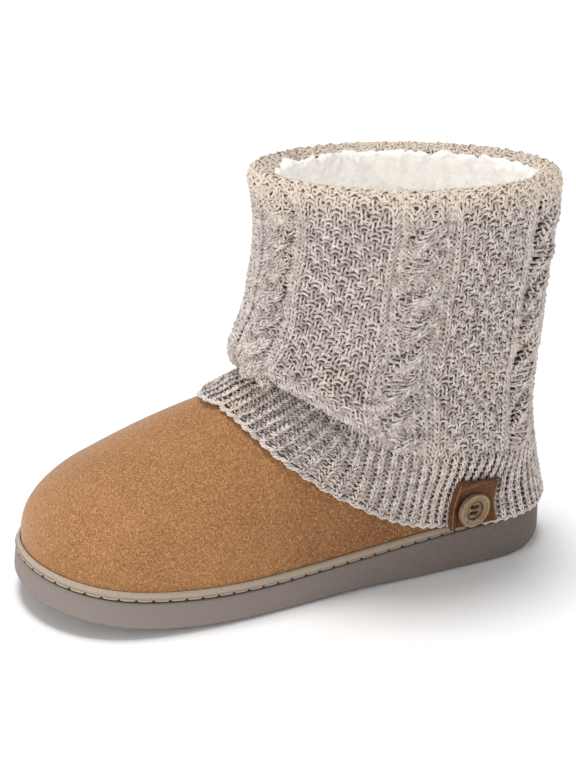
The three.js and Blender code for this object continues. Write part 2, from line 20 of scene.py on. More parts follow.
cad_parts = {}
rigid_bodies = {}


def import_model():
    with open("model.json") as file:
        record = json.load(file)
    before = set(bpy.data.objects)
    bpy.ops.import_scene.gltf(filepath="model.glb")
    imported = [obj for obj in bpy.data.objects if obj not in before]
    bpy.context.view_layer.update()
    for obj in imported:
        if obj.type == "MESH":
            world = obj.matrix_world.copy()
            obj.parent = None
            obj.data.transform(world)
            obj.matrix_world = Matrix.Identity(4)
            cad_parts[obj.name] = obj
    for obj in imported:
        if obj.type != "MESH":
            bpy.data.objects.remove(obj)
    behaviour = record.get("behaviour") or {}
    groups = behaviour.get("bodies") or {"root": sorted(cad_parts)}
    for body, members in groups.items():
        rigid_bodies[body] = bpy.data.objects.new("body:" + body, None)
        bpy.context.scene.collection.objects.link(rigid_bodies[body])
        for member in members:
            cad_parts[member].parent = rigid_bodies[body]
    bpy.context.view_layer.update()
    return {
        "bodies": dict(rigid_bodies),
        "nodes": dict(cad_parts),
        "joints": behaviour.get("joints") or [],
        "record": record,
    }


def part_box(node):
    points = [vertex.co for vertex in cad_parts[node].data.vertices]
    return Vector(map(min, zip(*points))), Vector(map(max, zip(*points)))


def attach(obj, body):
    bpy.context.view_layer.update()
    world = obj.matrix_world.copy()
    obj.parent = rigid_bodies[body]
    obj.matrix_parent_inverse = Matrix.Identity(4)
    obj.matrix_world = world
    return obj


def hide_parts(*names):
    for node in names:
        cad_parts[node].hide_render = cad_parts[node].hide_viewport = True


log = logging.getLogger("bootie_slipper")

MM = 0.001
FAR = 0.3  # farther than any wall is from the shaft's axis
MERGE_WITHIN = 0.01 * MM
FLAT_TURN = math.radians(50)
QUAD_SKEW = math.radians(70)
EDGE_HOLD = 0.75

Array = np.ndarray


def read_table(rows: Array, at: Array) -> Array:
    """Smooth cubic interpolation of a table whose first column is its sorted key.

    Args:
        rows: one row per key; the first column is the key.
        at: the keys to read at.

    Returns:
        The other columns at those keys, in an added last axis.
    """
    keys, values = rows[:, 0], rows[:, 1:]
    at = np.clip(np.asarray(at, float), keys[0], keys[-1])
    i = np.clip(np.searchsorted(keys, at, side="left") - 1, 0, len(keys) - 2)
    place = np.arange(len(keys))
    before, after = np.maximum(place - 1, 0), np.minimum(place + 1, len(keys) - 1)
    slopes = (values[after] - values[before]) / (keys[after] - keys[before])[:, None]
    span = (keys[i + 1] - keys[i])[..., None]
    t = (at - keys[i])[..., None] / span
    return (
        (2 * t**3 - 3 * t**2 + 1) * values[i]
        + (t**3 - 2 * t**2 + t) * span * slopes[i]
        + (3 * t**2 - 2 * t**3) * values[i + 1]
        + (t**3 - t**2) * span * slopes[i + 1]
    )


def smooth_step(value: Array, low: float, high: float) -> Array:
    """0 below low, 1 above high, and a smooth climb between them."""
    t = np.clip((value - low) / (high - low), 0, 1)
    return t * t * (3 - 2 * t)


def unit(vectors: Array) -> Array:
    """Vectors of length 1 along the last axis."""
    return vectors / np.maximum(np.linalg.norm(vectors, axis=-1, keepdims=True), 1e-12)


def run_along(points: Array) -> Array:
    """Length of a line of points, from its start to each of them."""
    return np.concatenate([[0], np.cumsum(np.linalg.norm(np.diff(points, axis=0), axis=1))])


def from_heel(turn: Array) -> Array:
    """Degrees away from the heel, 0 to 180 on either side, for a turn in radians."""
    degrees = np.degrees(turn) % 360
    return np.where(degrees <= 180, degrees, 360 - degrees)


def swell(degrees: Array, climb: Array, at: float, up: float, span: float, up_span: float) -> Array:
    """A soft bell over the shaft.

    Args:
        degrees: turn of each place, in degrees.
        climb: climb of each place.
        at: the bell's turn, in degrees.
        up: the bell's climb.
        span: how wide it is, in degrees.
        up_span: how high it is, in climb.

    Returns:
        1 at the bell's middle, falling to 0 around it.
    """
    away = ((degrees - at + 180) % 360 - 180) / span
    return np.exp(-(away**2) - ((climb - up) / up_span) ** 2)


class Wire:
    """A shader socket that takes arithmetic, each step of which adds one Math node."""

    def __init__(self, finish: "Recipe", socket: bpy.types.NodeSocket) -> None:
        """Keeps the socket and the recipe that it belongs to."""
        self.finish = finish
        self.socket = socket

    def _math(self, operation: str, a: "Wire | float", b: "Wire | float") -> "Wire":
        """Adds a Math node on two values."""
        return self.finish.node("ShaderNodeMath", {"operation": operation}, {0: a, 1: b})

    def __add__(self, other: "Wire | float") -> "Wire":
        """self + other."""
        return self._math("ADD", self, other)

    def __sub__(self, other: "Wire | float") -> "Wire":
        """self - other."""
        return self._math("SUBTRACT", self, other)

    def __rsub__(self, other: float) -> "Wire":
        """other - self."""
        return self._math("SUBTRACT", other, self)

    def __mul__(self, other: "Wire | float") -> "Wire":
        """self * other."""
        return self._math("MULTIPLY", self, other)

    def __truediv__(self, other: "Wire | float") -> "Wire":
        """self / other."""
        return self._math("DIVIDE", self, other)

    def __pow__(self, other: float) -> "Wire":
        """self to a power."""
        return self._math("POWER", self, other)

    __radd__ = __add__
    __rmul__ = __mul__

    def sine(self) -> "Wire":
        """Sine of the value."""
        return self.finish.node("ShaderNodeMath", {"operation": "SINE"}, {0: self})

    def between(self, low: float, high: float) -> "Wire":
        """0 below low, 1 above high, smooth between them."""
        settings = {"interpolation_type": "SMOOTHSTEP"}
        return self.finish.node("ShaderNodeMapRange", settings, {0: self, 1: low, 2: high})


Value = "Wire | float | tuple"


class Recipe:
    """A material's node tree around one Principled shader."""

    def __init__(self, name: str) -> None:
        """Makes the material with an empty tree.

        Args:
            name: the material's name.
        """
        self.material = bpy.data.materials.new(name)
        self.material.use_nodes = True
        self.tree = self.material.node_tree
        self.tree.nodes.clear()
        output = self.tree.nodes.new("ShaderNodeOutputMaterial")
        self.shader = self.tree.nodes.new("ShaderNodeBsdfPrincipled")
        self.tree.links.new(self.shader.outputs[0], output.inputs["Surface"])

    def put(self, socket: bpy.types.NodeSocket, value: Value) -> None:
        """Links or sets one input socket.

        Args:
            socket: the input.
            value: a wire to link, or a plain value to set.
        """
        if isinstance(value, Wire):
            self.tree.links.new(value.socket, socket)
        else:
            socket.default_value = value

    def node(self, kind: str, settings: dict, inputs: dict, output: int | str = 0) -> Wire:
        """Adds a node.

        Args:
            kind: the node's type.
            settings: its properties.
            inputs: values or wires by the name or number of their socket.
            output: the socket that is returned.

        Returns:
            One of its outputs.
        """
        made = self.tree.nodes.new(kind)
        for key, value in settings.items():
            setattr(made, key, value)
        for key, value in inputs.items():
            self.put(made.inputs[key], value)
        return Wire(self, made.outputs[output])

    def set(self, **values: Value) -> None:
        """Sets the shader's sockets; an underscore in a name stands for a space."""
        for key, value in values.items():
            self.put(self.shader.inputs[key.replace("_", " ")], value)

    def place(self) -> Wire:
        """Object coordinates in metres."""
        return self.node("ShaderNodeTexCoord", {}, {}, "Object")

    def axis(self, name: str) -> Wire:
        """One of the object coordinates, X, Y or Z."""
        return self.node("ShaderNodeSeparateXYZ", {}, {0: self.place()}, name)

    def noise(self, cells: float, detail: float = 2, rough: float = 0.5, twist: float = 0) -> Wire:
        """Noise between 0 and 1 with that many cells a metre."""
        inputs = {"Scale": cells, "Detail": detail, "Roughness": rough, "Distortion": twist}
        return self.node("ShaderNodeTexNoise", {}, {"Vector": self.place(), **inputs})

    def blend(self, factor: Value, a: Value, b: Value) -> Wire:
        """Mixes two colours."""
        inputs = {0: factor, 6: a, 7: b}
        return self.node("ShaderNodeMix", {"data_type": "RGBA"}, inputs, 2)

    def bump(self, height: Wire, strength: float, distance: float) -> None:
        """Turns a height between 0 and 1 into the shader's normal."""
        inputs = {"Height": height, "Strength": strength, "Distance": distance}
        self.set(Normal=self.node("ShaderNodeBump", {}, inputs))


def paint(red: int, green: int, blue: int) -> tuple:
    """A display colour as a linear colour.

    Args:
        red: red from 0 to 255.
        green: green from 0 to 255.
        blue: blue from 0 to 255.

    Returns:
        Linear red, green and blue, with an alpha of 1.
    """

    def linear(value: int) -> float:
        """One channel."""
        share = value / 255
        return share / 12.92 if share <= 0.04045 else ((share + 0.055) / 1.055) ** 2.4

    return (linear(red), linear(green), linear(blue), 1.0)


@dataclass(frozen=True)
class SuedeFinish:
    """Brushed suede: a short wavy nap in fine light and dark lines over slow changes of tone, and
    painted shade toward the heel.
    """

    name: str
    base: tuple
    dark: tuple
    light: tuple
    fleck: float = 0.7 * MM
    patch: float = 22 * MM
    nap_depth: float = 0.4 * MM
    # Painted shade: the suede darkens toward the heel between these places along X, by this much
    painted_heel_shade_span: tuple = (-0.07, 0.04)
    shade: float = 0.75
    patch_shade: float = 0.15
    light_nap: tuple = (0.47, 0.66)
    light_share: float = 0.28
    worn_share: float = 0.3
    dark_nap: tuple = (0.34, 0.52)
    dark_share: float = 0.55

    def coat(self, recipe: Recipe) -> None:
        """Sets up the shader.

        Args:
            recipe: the new material's recipe.
        """
        nap = recipe.noise(1 / self.fleck, 2, 0.55, 0.6)
        slow = recipe.noise(1 / self.patch, 3, 0.55)
        worn = recipe.noise(0.35 / self.fleck)
        # Painted shade toward the heel, added to slow random patches of tone
        painted_heel_shade = recipe.axis("X").between(*self.painted_heel_shade_span)
        shade = (1 - slow.between(0.35, 0.65)) * self.patch_shade + painted_heel_shade * self.shade
        tone = recipe.blend(shade, self.base, self.dark)
        rubbed = self.light_share + worn.between(0.4, 0.7) * self.worn_share
        tone = recipe.blend(nap.between(*self.light_nap) * rubbed, tone, self.light)
        tone = recipe.blend((1 - nap.between(*self.dark_nap)) * self.dark_share, tone, self.dark)
        recipe.set(Base_Color=tone, Roughness=0.95, Sheen_Weight=0.3, Sheen_Roughness=0.4)
        recipe.set(Specular_IOR_Level=0.12)
        recipe.bump(nap, 0.8, self.nap_depth)


@dataclass(frozen=True)
class RubberFinish:
    """Moulded rubber with painted shade that darkens it from the toe to the heel, and a fine matt
    texture with painted shade in its pits.
    """

    name: str
    toe: tuple
    heel: tuple
    grain: float
    depth: float
    roughness: float
    # Painted shade: the span along X where the toe colour turns to the darker heel colour
    painted_shade_toe_to_heel: tuple = (-0.12, 0.13)
    # Painted shade in the grain's pits: the pit colour as a share of the toe colour, and how much of it
    pit_tone: float = 0.8
    pit_share: float = 0.65
    dust_cells: float = 60
    dust_share: float = 0.15

    def coat(self, recipe: Recipe) -> None:
        """Sets up the shader.

        Args:
            recipe: the new material's recipe.
        """
        along = recipe.axis("X").between(*self.painted_shade_toe_to_heel)
        grain = recipe.noise(1 / self.grain, 2, 0.6)
        dust = recipe.noise(self.dust_cells, 4, 0.6)
        # Painted shade: darker from the toe to the heel
        tone = recipe.blend(along, self.toe, self.heel)
        # Painted shade: the pits of the grain, where the bump dips, are darkened
        pit = tuple(self.pit_tone * channel for channel in self.toe[:3]) + (1.0,)
        tone = recipe.blend((1 - grain.between(0.35, 0.55)) * self.pit_share, tone, pit)
        recipe.set(Base_Color=tone, Specular_IOR_Level=0.35)
        recipe.set(Roughness=self.roughness + dust * self.dust_share)
        recipe.bump(grain, 0.5, self.depth)


@dataclass(frozen=True)
class YarnFinish:
    """Heathered two-ply yarn with painted shade between its plies; UV runs along the yarn in
    millimetres and once around it.
    """

    name: str
    light: tuple
    base: tuple
    brown: tuple
    cream: tuple
    cream_from: float
    cream_to: float
    ply_pitch: float = 2.4
    # Painted shade: how much the grooves between the plies turn brown
    ply_share: float = 0.14
    fibre_cells: float = 2600
    strand_cells: float = 330
    heather_cells: float = 230
    heather_share: float = 0.4
    patch_cells: float = 34
    patch_share: float = 0.4
    cream_share: float = 0.75
    depth: float = 0.16 * MM

    def coat(self, recipe: Recipe) -> None:
        """Sets up the shader.

        Args:
            recipe: the new material's recipe.
        """
        along = recipe.node("ShaderNodeUVMap", {"uv_map": "yarn"}, {})
        length = recipe.node("ShaderNodeSeparateXYZ", {}, {0: along}, "X")
        around = recipe.node("ShaderNodeSeparateXYZ", {}, {0: along}, "Y")
        turn = (length / self.ply_pitch + around) * (2 * math.pi)
        ply = (turn * 2).sine() * 0.5 + 0.5
        fibre = recipe.noise(self.fibre_cells, 2, 0.7)
        strand = recipe.noise(self.strand_cells)
        heather = recipe.noise(self.heather_cells, 3, 0.65)
        patch = recipe.noise(self.patch_cells)
        tone = recipe.blend(strand.between(0.35, 0.65), self.base, self.light)
        tone = recipe.blend(heather.between(0.5, 0.7) * self.heather_share, tone, self.brown)
        tone = recipe.blend(patch.between(0.5, 0.7) * self.patch_share, tone, self.cream)
        # Painted shade: the grooves between the two plies, where the bump dips, turn brown
        tone = recipe.blend((1 - ply.between(0.0, 0.45)) * self.ply_share, tone, self.brown)
        height = recipe.axis("Z").between(self.cream_from, self.cream_to)
        tone = recipe.blend(height * self.cream_share, tone, self.cream)
        recipe.set(Base_Color=tone, Roughness=0.9, Sheen_Weight=0.25, Sheen_Roughness=0.5)
        recipe.set(Specular_IOR_Level=0.2)
        recipe.bump(ply * 0.5 + fibre * 0.5, 0.35, self.depth)


@dataclass(frozen=True)
class FleeceFinish:
    """Curly fleece, nearly white, with a little creamy painted shade in its hollows and a faint painted
    glow.
    """

    name: str
    light: tuple
    # Painted shade: the creamier colour of the hollows between the curls
    painted_shade_hollow: tuple
    # Painted light: how strongly the fleece glows, standing in for light scattered inside it
    painted_glow: float = 0.17
    curl_cells: float = 420
    tuft_cells: float = 130
    curl_depth: float = 1.2 * MM

    def coat(self, recipe: Recipe) -> None:
        """Sets up the shader.

        Args:
            recipe: the new material's recipe.
        """
        curl = recipe.noise(self.curl_cells, 4, 0.65)
        tuft = recipe.noise(self.tuft_cells)
        raised = (curl * 0.5 + tuft * 0.5).between(0.38, 0.55)
        # Painted shade: the hollows between the curls take the creamier colour
        tone = recipe.blend(1 - raised, self.light, self.painted_shade_hollow)
        recipe.set(Base_Color=tone, Roughness=1.0, Sheen_Weight=0.5, Sheen_Roughness=0.4)
        # Painted light: a faint glow in the fleece's own colour
        recipe.set(Emission_Color=self.light, Emission_Strength=self.painted_glow)
        recipe.set(Specular_IOR_Level=0.05)
        recipe.bump(curl * 0.6 + tuft * 0.4, 0.7, self.curl_depth)


@dataclass(frozen=True)
class PlainFinish:
    """A plain cloth, thread or turned piece with slight changes of tone."""

    name: str
    base: tuple
    shade: tuple
    grain: float
    roughness: float
    depth: float = 0.1 * MM

    def coat(self, recipe: Recipe) -> None:
        """Sets up the shader.

        Args:
            recipe: the new material's recipe.
        """
        grain = recipe.noise(1 / self.grain, 3, 0.6)
        recipe.set(Base_Color=recipe.blend(grain.between(0.3, 0.7), self.shade, self.base))
        recipe.set(Roughness=self.roughness, Specular_IOR_Level=0.4)
        recipe.bump(grain, 0.3, self.depth)


class Finish(Enum):
    """The finishes of the slipper, one per material."""

    SUEDE = SuedeFinish("suede", paint(170, 122, 79), paint(112, 70, 39), paint(222, 176, 130))
    TAB = SuedeFinish(
        "tab_suede", paint(122, 78, 42), paint(80, 48, 24), paint(160, 110, 66), patch=6 * MM
    )
    # The heel colours of the sole and the welt are painted shade
    SOLE = RubberFinish(
        "sole_rubber", paint(144, 132, 126), paint(92, 82, 74), 0.5 * MM, 0.12 * MM, 0.62
    )
    WELT = RubberFinish(
        "welt_rubber", paint(176, 160, 142), paint(140, 126, 108), 0.9 * MM, 0.04 * MM, 0.45
    )
    YARN = YarnFinish(
        "yarn", paint(232, 222, 217), paint(190, 178, 172), paint(138, 113, 97), paint(238, 222, 203),
        cream_from=0.168, cream_to=0.184,
    )
    # Painted shade: the backing's browns stand for the shade in the knit's holes
    BACKING_SHADE = PlainFinish("knit_backing_shade", paint(150, 131, 117), paint(120, 102, 89), 1.2 * MM, 1.0)
    FLEECE = FleeceFinish("fleece", paint(251, 249, 246), paint(243, 237, 229))
    BUTTON = PlainFinish(
        "button_horn", paint(142, 120, 92), paint(116, 94, 68), 2.2 * MM, 0.4, 0.04 * MM
    )
    RIM = PlainFinish(
        "button_rim", paint(160, 136, 104), paint(136, 112, 80), 2.2 * MM, 0.36, 0.04 * MM
    )
    THREAD = PlainFinish("thread", paint(74, 58, 48), paint(50, 38, 30), 0.4 * MM, 0.8)
    SEAM = PlainFinish("seam_thread", paint(206, 164, 116), paint(170, 124, 78), 0.4 * MM, 0.8)
    GROOVE = PlainFinish("groove_thread", paint(62, 54, 48), paint(44, 38, 34), 0.5 * MM, 0.9)

    def material(self) -> bpy.types.Material:
        """The material, made at its first use.

        Returns:
            The material.
        """
        name = f"{self.value.name}_finish"
        if name not in bpy.data.materials:
            self.value.coat(Recipe(name))
        return bpy.data.materials[name]


def only(obj: bpy.types.Object) -> None:
    """Deselects everything, then selects one object and makes it active.

    Args:
        obj: the object.
    """
    bpy.ops.object.select_all(action="DESELECT")
    obj.select_set(True)
    bpy.context.view_layer.objects.active = obj


def apply_modifier(obj: bpy.types.Object, kind: str, **settings: object) -> None:
    """Adds a modifier and applies it.

    Args:
        obj: the mesh object.
        kind: the modifier's type.
        settings: its properties.
    """
    only(obj)
    modifier = obj.modifiers.new(kind.lower(), kind)
    for key, value in settings.items():
        setattr(modifier, key, value)
    bpy.ops.object.modifier_apply(modifier=modifier.name)


def dress(obj: bpy.types.Object, finish: Finish, slot: str, *nodes: str) -> bpy.types.Object:
    """Gives a piece its material, smooth shading and body.

    Args:
        obj: the piece.
        finish: its finish.
        slot: the record's material slot, which is not used.
        nodes: the CAD nodes that it stands for.

    Returns:
        The piece.
    """
    obj.data.materials.clear()
    obj.data.materials.append(finish.material())
    only(obj)
    bpy.ops.object.shade_smooth()
    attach(obj, "root")
    if nodes:
        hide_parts(*nodes)
    return obj


def refined(node: bpy.types.Object, name: str, sharp: float, levels: int) -> bpy.types.Object:
    """A smooth copy of a CAD node: merged, made of quads and subdivided.

    Args:
        node: the CAD node's object.
        name: the new piece's name.
        sharp: edges that turn more than this many degrees are held by a crease.
        levels: subdivision levels.

    Returns:
        The new piece.
    """
    piece = bpy.data.objects.new(name, node.data.copy())
    bpy.context.scene.collection.objects.link(piece)
    only(piece)
    bpy.ops.object.mode_set(mode="EDIT")
    bpy.ops.mesh.select_all(action="SELECT")
    bpy.ops.mesh.remove_doubles(threshold=MERGE_WITHIN)
    bpy.ops.mesh.tris_convert_to_quads(face_threshold=FLAT_TURN, shape_threshold=QUAD_SKEW)
    bpy.ops.mesh.select_all(action="DESELECT")
    bpy.ops.mesh.select_mode(type="EDGE")
    bpy.ops.mesh.edges_select_sharp(sharpness=math.radians(sharp))
    bpy.ops.transform.edge_crease(value=EDGE_HOLD)
    bpy.ops.object.mode_set(mode="OBJECT")
    apply_modifier(piece, "SUBSURF", levels=levels, render_levels=levels)
    return piece


def new_mesh(name: str, points: Array, quads: Array) -> bpy.types.Object:
    """An object of quads at given points.

    Args:
        name: the object's name.
        points: x, y and z of each point.
        quads: four point numbers for each quad.

    Returns:
        The object, linked to the scene.
    """
    mesh = bpy.data.meshes.new(name)
    mesh.vertices.add(len(points))
    mesh.vertices.foreach_set("co", np.ascontiguousarray(points, np.float32).ravel())
    mesh.loops.add(quads.size)
    mesh.loops.foreach_set("vertex_index", np.ascontiguousarray(quads, np.int32).ravel())
    mesh.polygons.add(len(quads))
    mesh.polygons.foreach_set("loop_start", np.arange(0, quads.size, 4, dtype=np.int32))
    mesh.polygons.foreach_set("loop_total", np.full(len(quads), 4, np.int32))
    mesh.update(calc_edges=True)
    mesh.validate()
    obj = bpy.data.objects.new(name, mesh)
    bpy.context.scene.collection.objects.link(obj)
    return obj


def points_of(obj: bpy.types.Object, field: str = "co") -> Array:
    """x, y and z of each of a mesh's points, or of its normals.

    Args:
        obj: the mesh object.
        field: co for the points, normal for the normals.

    Returns:
        A row for each point.
    """
    values = np.empty(len(obj.data.vertices) * 3)
    obj.data.vertices.foreach_get(field, values)
    return values.reshape(-1, 3)


def grid_quads(rows: int, columns: int, wrap_rows: bool) -> Array:
    """Quads of a grid whose rows are closed rings.

    Args:
        rows: rows of points.
        columns: points in a row.
        wrap_rows: whether the last row joins the first.

    Returns:
        Four point numbers for each quad.
    """
    here = np.arange(rows if wrap_rows else rows - 1)[:, None] * columns
    above = (here + columns) % (rows * columns)
    c = np.arange(columns)
    after = (c + 1) % columns
    return np.stack([here + c, here + after, above + after, above + c], -1).reshape(-1, 4)


@dataclass
class Foot:
    """The sole's sizes that other pieces follow, as the part's source has them."""

    length: float = 262 * MM
    ball_width: float = 98.5 * MM
    heel: float = 20.3 * MM
    ball: float = 13.5 * MM
    toe: float = 12.2 * MM
    toe_spring: float = 10.4 * MM
    wedge_start: float = 0.15
    wedge_end: float = 0.62
    spring_start: float = 0.627
    welt_height: float = 4 * MM
    # Turn from the heel in degrees, outer and inner half width in shares of the ball's width
    outline: tuple = (
        (0, 0.521, 0.521),
        (30, 0.597, 0.541),
        (60, 0.466, 0.466),
        (90, 0.453, 0.404),
        (120, 0.597, 0.558),
        (150, 0.791, 0.787),
        (180, 0.875, 0.875),
    )

    def top(self, x: Array) -> Array:
        """Height of the groove above the sole.

        Args:
            x: places along the foot.

        Returns:
            The heights there.
        """
        share = np.clip(0.5 - np.asarray(x) / self.length, 0, 1)
        thinning = smooth_step(share, self.wedge_start, self.wedge_end)
        wedge = self.heel + (self.ball - self.heel) * thinning
        past = np.clip((share - self.spring_start) / (1 - self.spring_start), 0, 1)
        return wedge + (self.toe_spring + self.toe - self.ball) * past**2

    def edge(self, turn: Array, inset: float) -> Array:
        """Points of the footprint, moved in by an inset.

        Args:
            turn: radians around the foot, 0 at the heel and pi at the toe.
            inset: distance in from the sole's outline.

        Returns:
            x and y of each point.
        """
        shares = read_table(np.array(self.outline, float), from_heel(turn))
        share = np.where(np.sin(turn) >= 0, shares[..., 0], shares[..., 1])
        x = (self.length / 2 - inset) * np.cos(turn)
        y = -(self.ball_width * share - inset) * np.sin(turn)
        return np.stack([x, y], -1)


# Degrees from the heel, and the hem's rise there
HEM_LINE = np.array([
    (0, 0), (60, 0), (75, 0.004), (90, 0.022), (100, 0.055), (110, 0.106), (120, 0.18),
    (130, 0.268), (140, 0.333), (150, 0.375), (165, 0.41), (180, 0.42),
])

# Climb, front reach and rise, side reach and rise, back reach and rise of the shaft's rows
SHAFT_ROWS = np.array([
    (0, 0.632, 0.42, 0.41, 0.022, 0.568, 0),
    (0.07, 0.585, 0.415, 0.415, 0.115, 0.535, 0.067),
    (0.14, 0.522, 0.452, 0.418, 0.185, 0.515, 0.137),
    (0.2, 0.472, 0.474, 0.42, 0.243, 0.51, 0.197),
    (0.26, 0.51, 0.467, 0.423, 0.302, 0.501, 0.257),
    (0.32, 0.545, 0.482, 0.425, 0.36, 0.494, 0.317),
    (0.38, 0.556, 0.522, 0.428, 0.418, 0.489, 0.378),
    (0.45, 0.538, 0.572, 0.433, 0.484, 0.488, 0.448),
    (0.54, 0.504, 0.642, 0.441, 0.569, 0.489, 0.539),
    (0.66, 0.486, 0.733, 0.454, 0.681, 0.493, 0.66),
    (0.8, 0.476, 0.84, 0.472, 0.812, 0.497, 0.8),
    (0.91, 0.484, 0.92, 0.487, 0.912, 0.504, 0.91),
])

# Turn, climb, their spans, push out as a share of the wall, and lift, of each dent and swell
SHAFT_DENTS = (
    (150, 0.32, 26, 0.09, 0.1, 1.3),
    (205, 0.3, 22, 0.09, 0, -0.4),
    (128, 0.36, 26, 0.05, 0.75, -0.2),
    (128, 0.25, 26, 0.045, -0.3, 0.1),
    (232, 0.36, 26, 0.05, 0.6, -0.2),
    (232, 0.25, 26, 0.045, -0.3, 0.1),
)

# Turn, climb, their spans, and height in millimetres of the soft ridges and troughs of the knit
SHAFT_CREASES = (
    (140, 0.285, 26, 0.045, 0.9),
    (116, 0.265, 18, 0.04, 1.3),
    (98, 0.25, 14, 0.035, 0.8),
    (145, 0.205, 26, 0.025, -0.8),
    (120, 0.2, 20, 0.03, -1.3),
    (100, 0.195, 14, 0.03, -0.8),
    (128, 0.47, 30, 0.05, -0.9),
    (122, 0.6, 34, 0.06, 0.7),
    (70, 0.3, 22, 0.05, 0.6),
    (66, 0.4, 24, 0.045, -0.9),
    (74, 0.52, 26, 0.05, 0.7),
    (62, 0.64, 24, 0.045, -0.8),
    (76, 0.77, 28, 0.05, 0.6),
    (30, 0.3, 24, 0.05, -0.7),
    (24, 0.55, 26, 0.06, 0.6),
    (235, 0.28, 30, 0.05, 0.9),
    (240, 0.2, 28, 0.03, -1.0),
    (250, 0.5, 30, 0.06, 0.7),
    (290, 0.42, 28, 0.05, -0.8),
    (320, 0.6, 30, 0.06, 0.7),
    (185, 0.62, 24, 0.05, 0.7),
    (350, 0.42, 26, 0.05, 0.7),
)

# The collar's roll past the last row: inward and down, in shares of the roll
COLLAR_ROWS = (
    (0, 0.8), (0.08, 0.35), (0.35, 0.04), (0.85, 0), (1.4, 0.12), (1.85, 0.42), (1.95, 0.85),
)


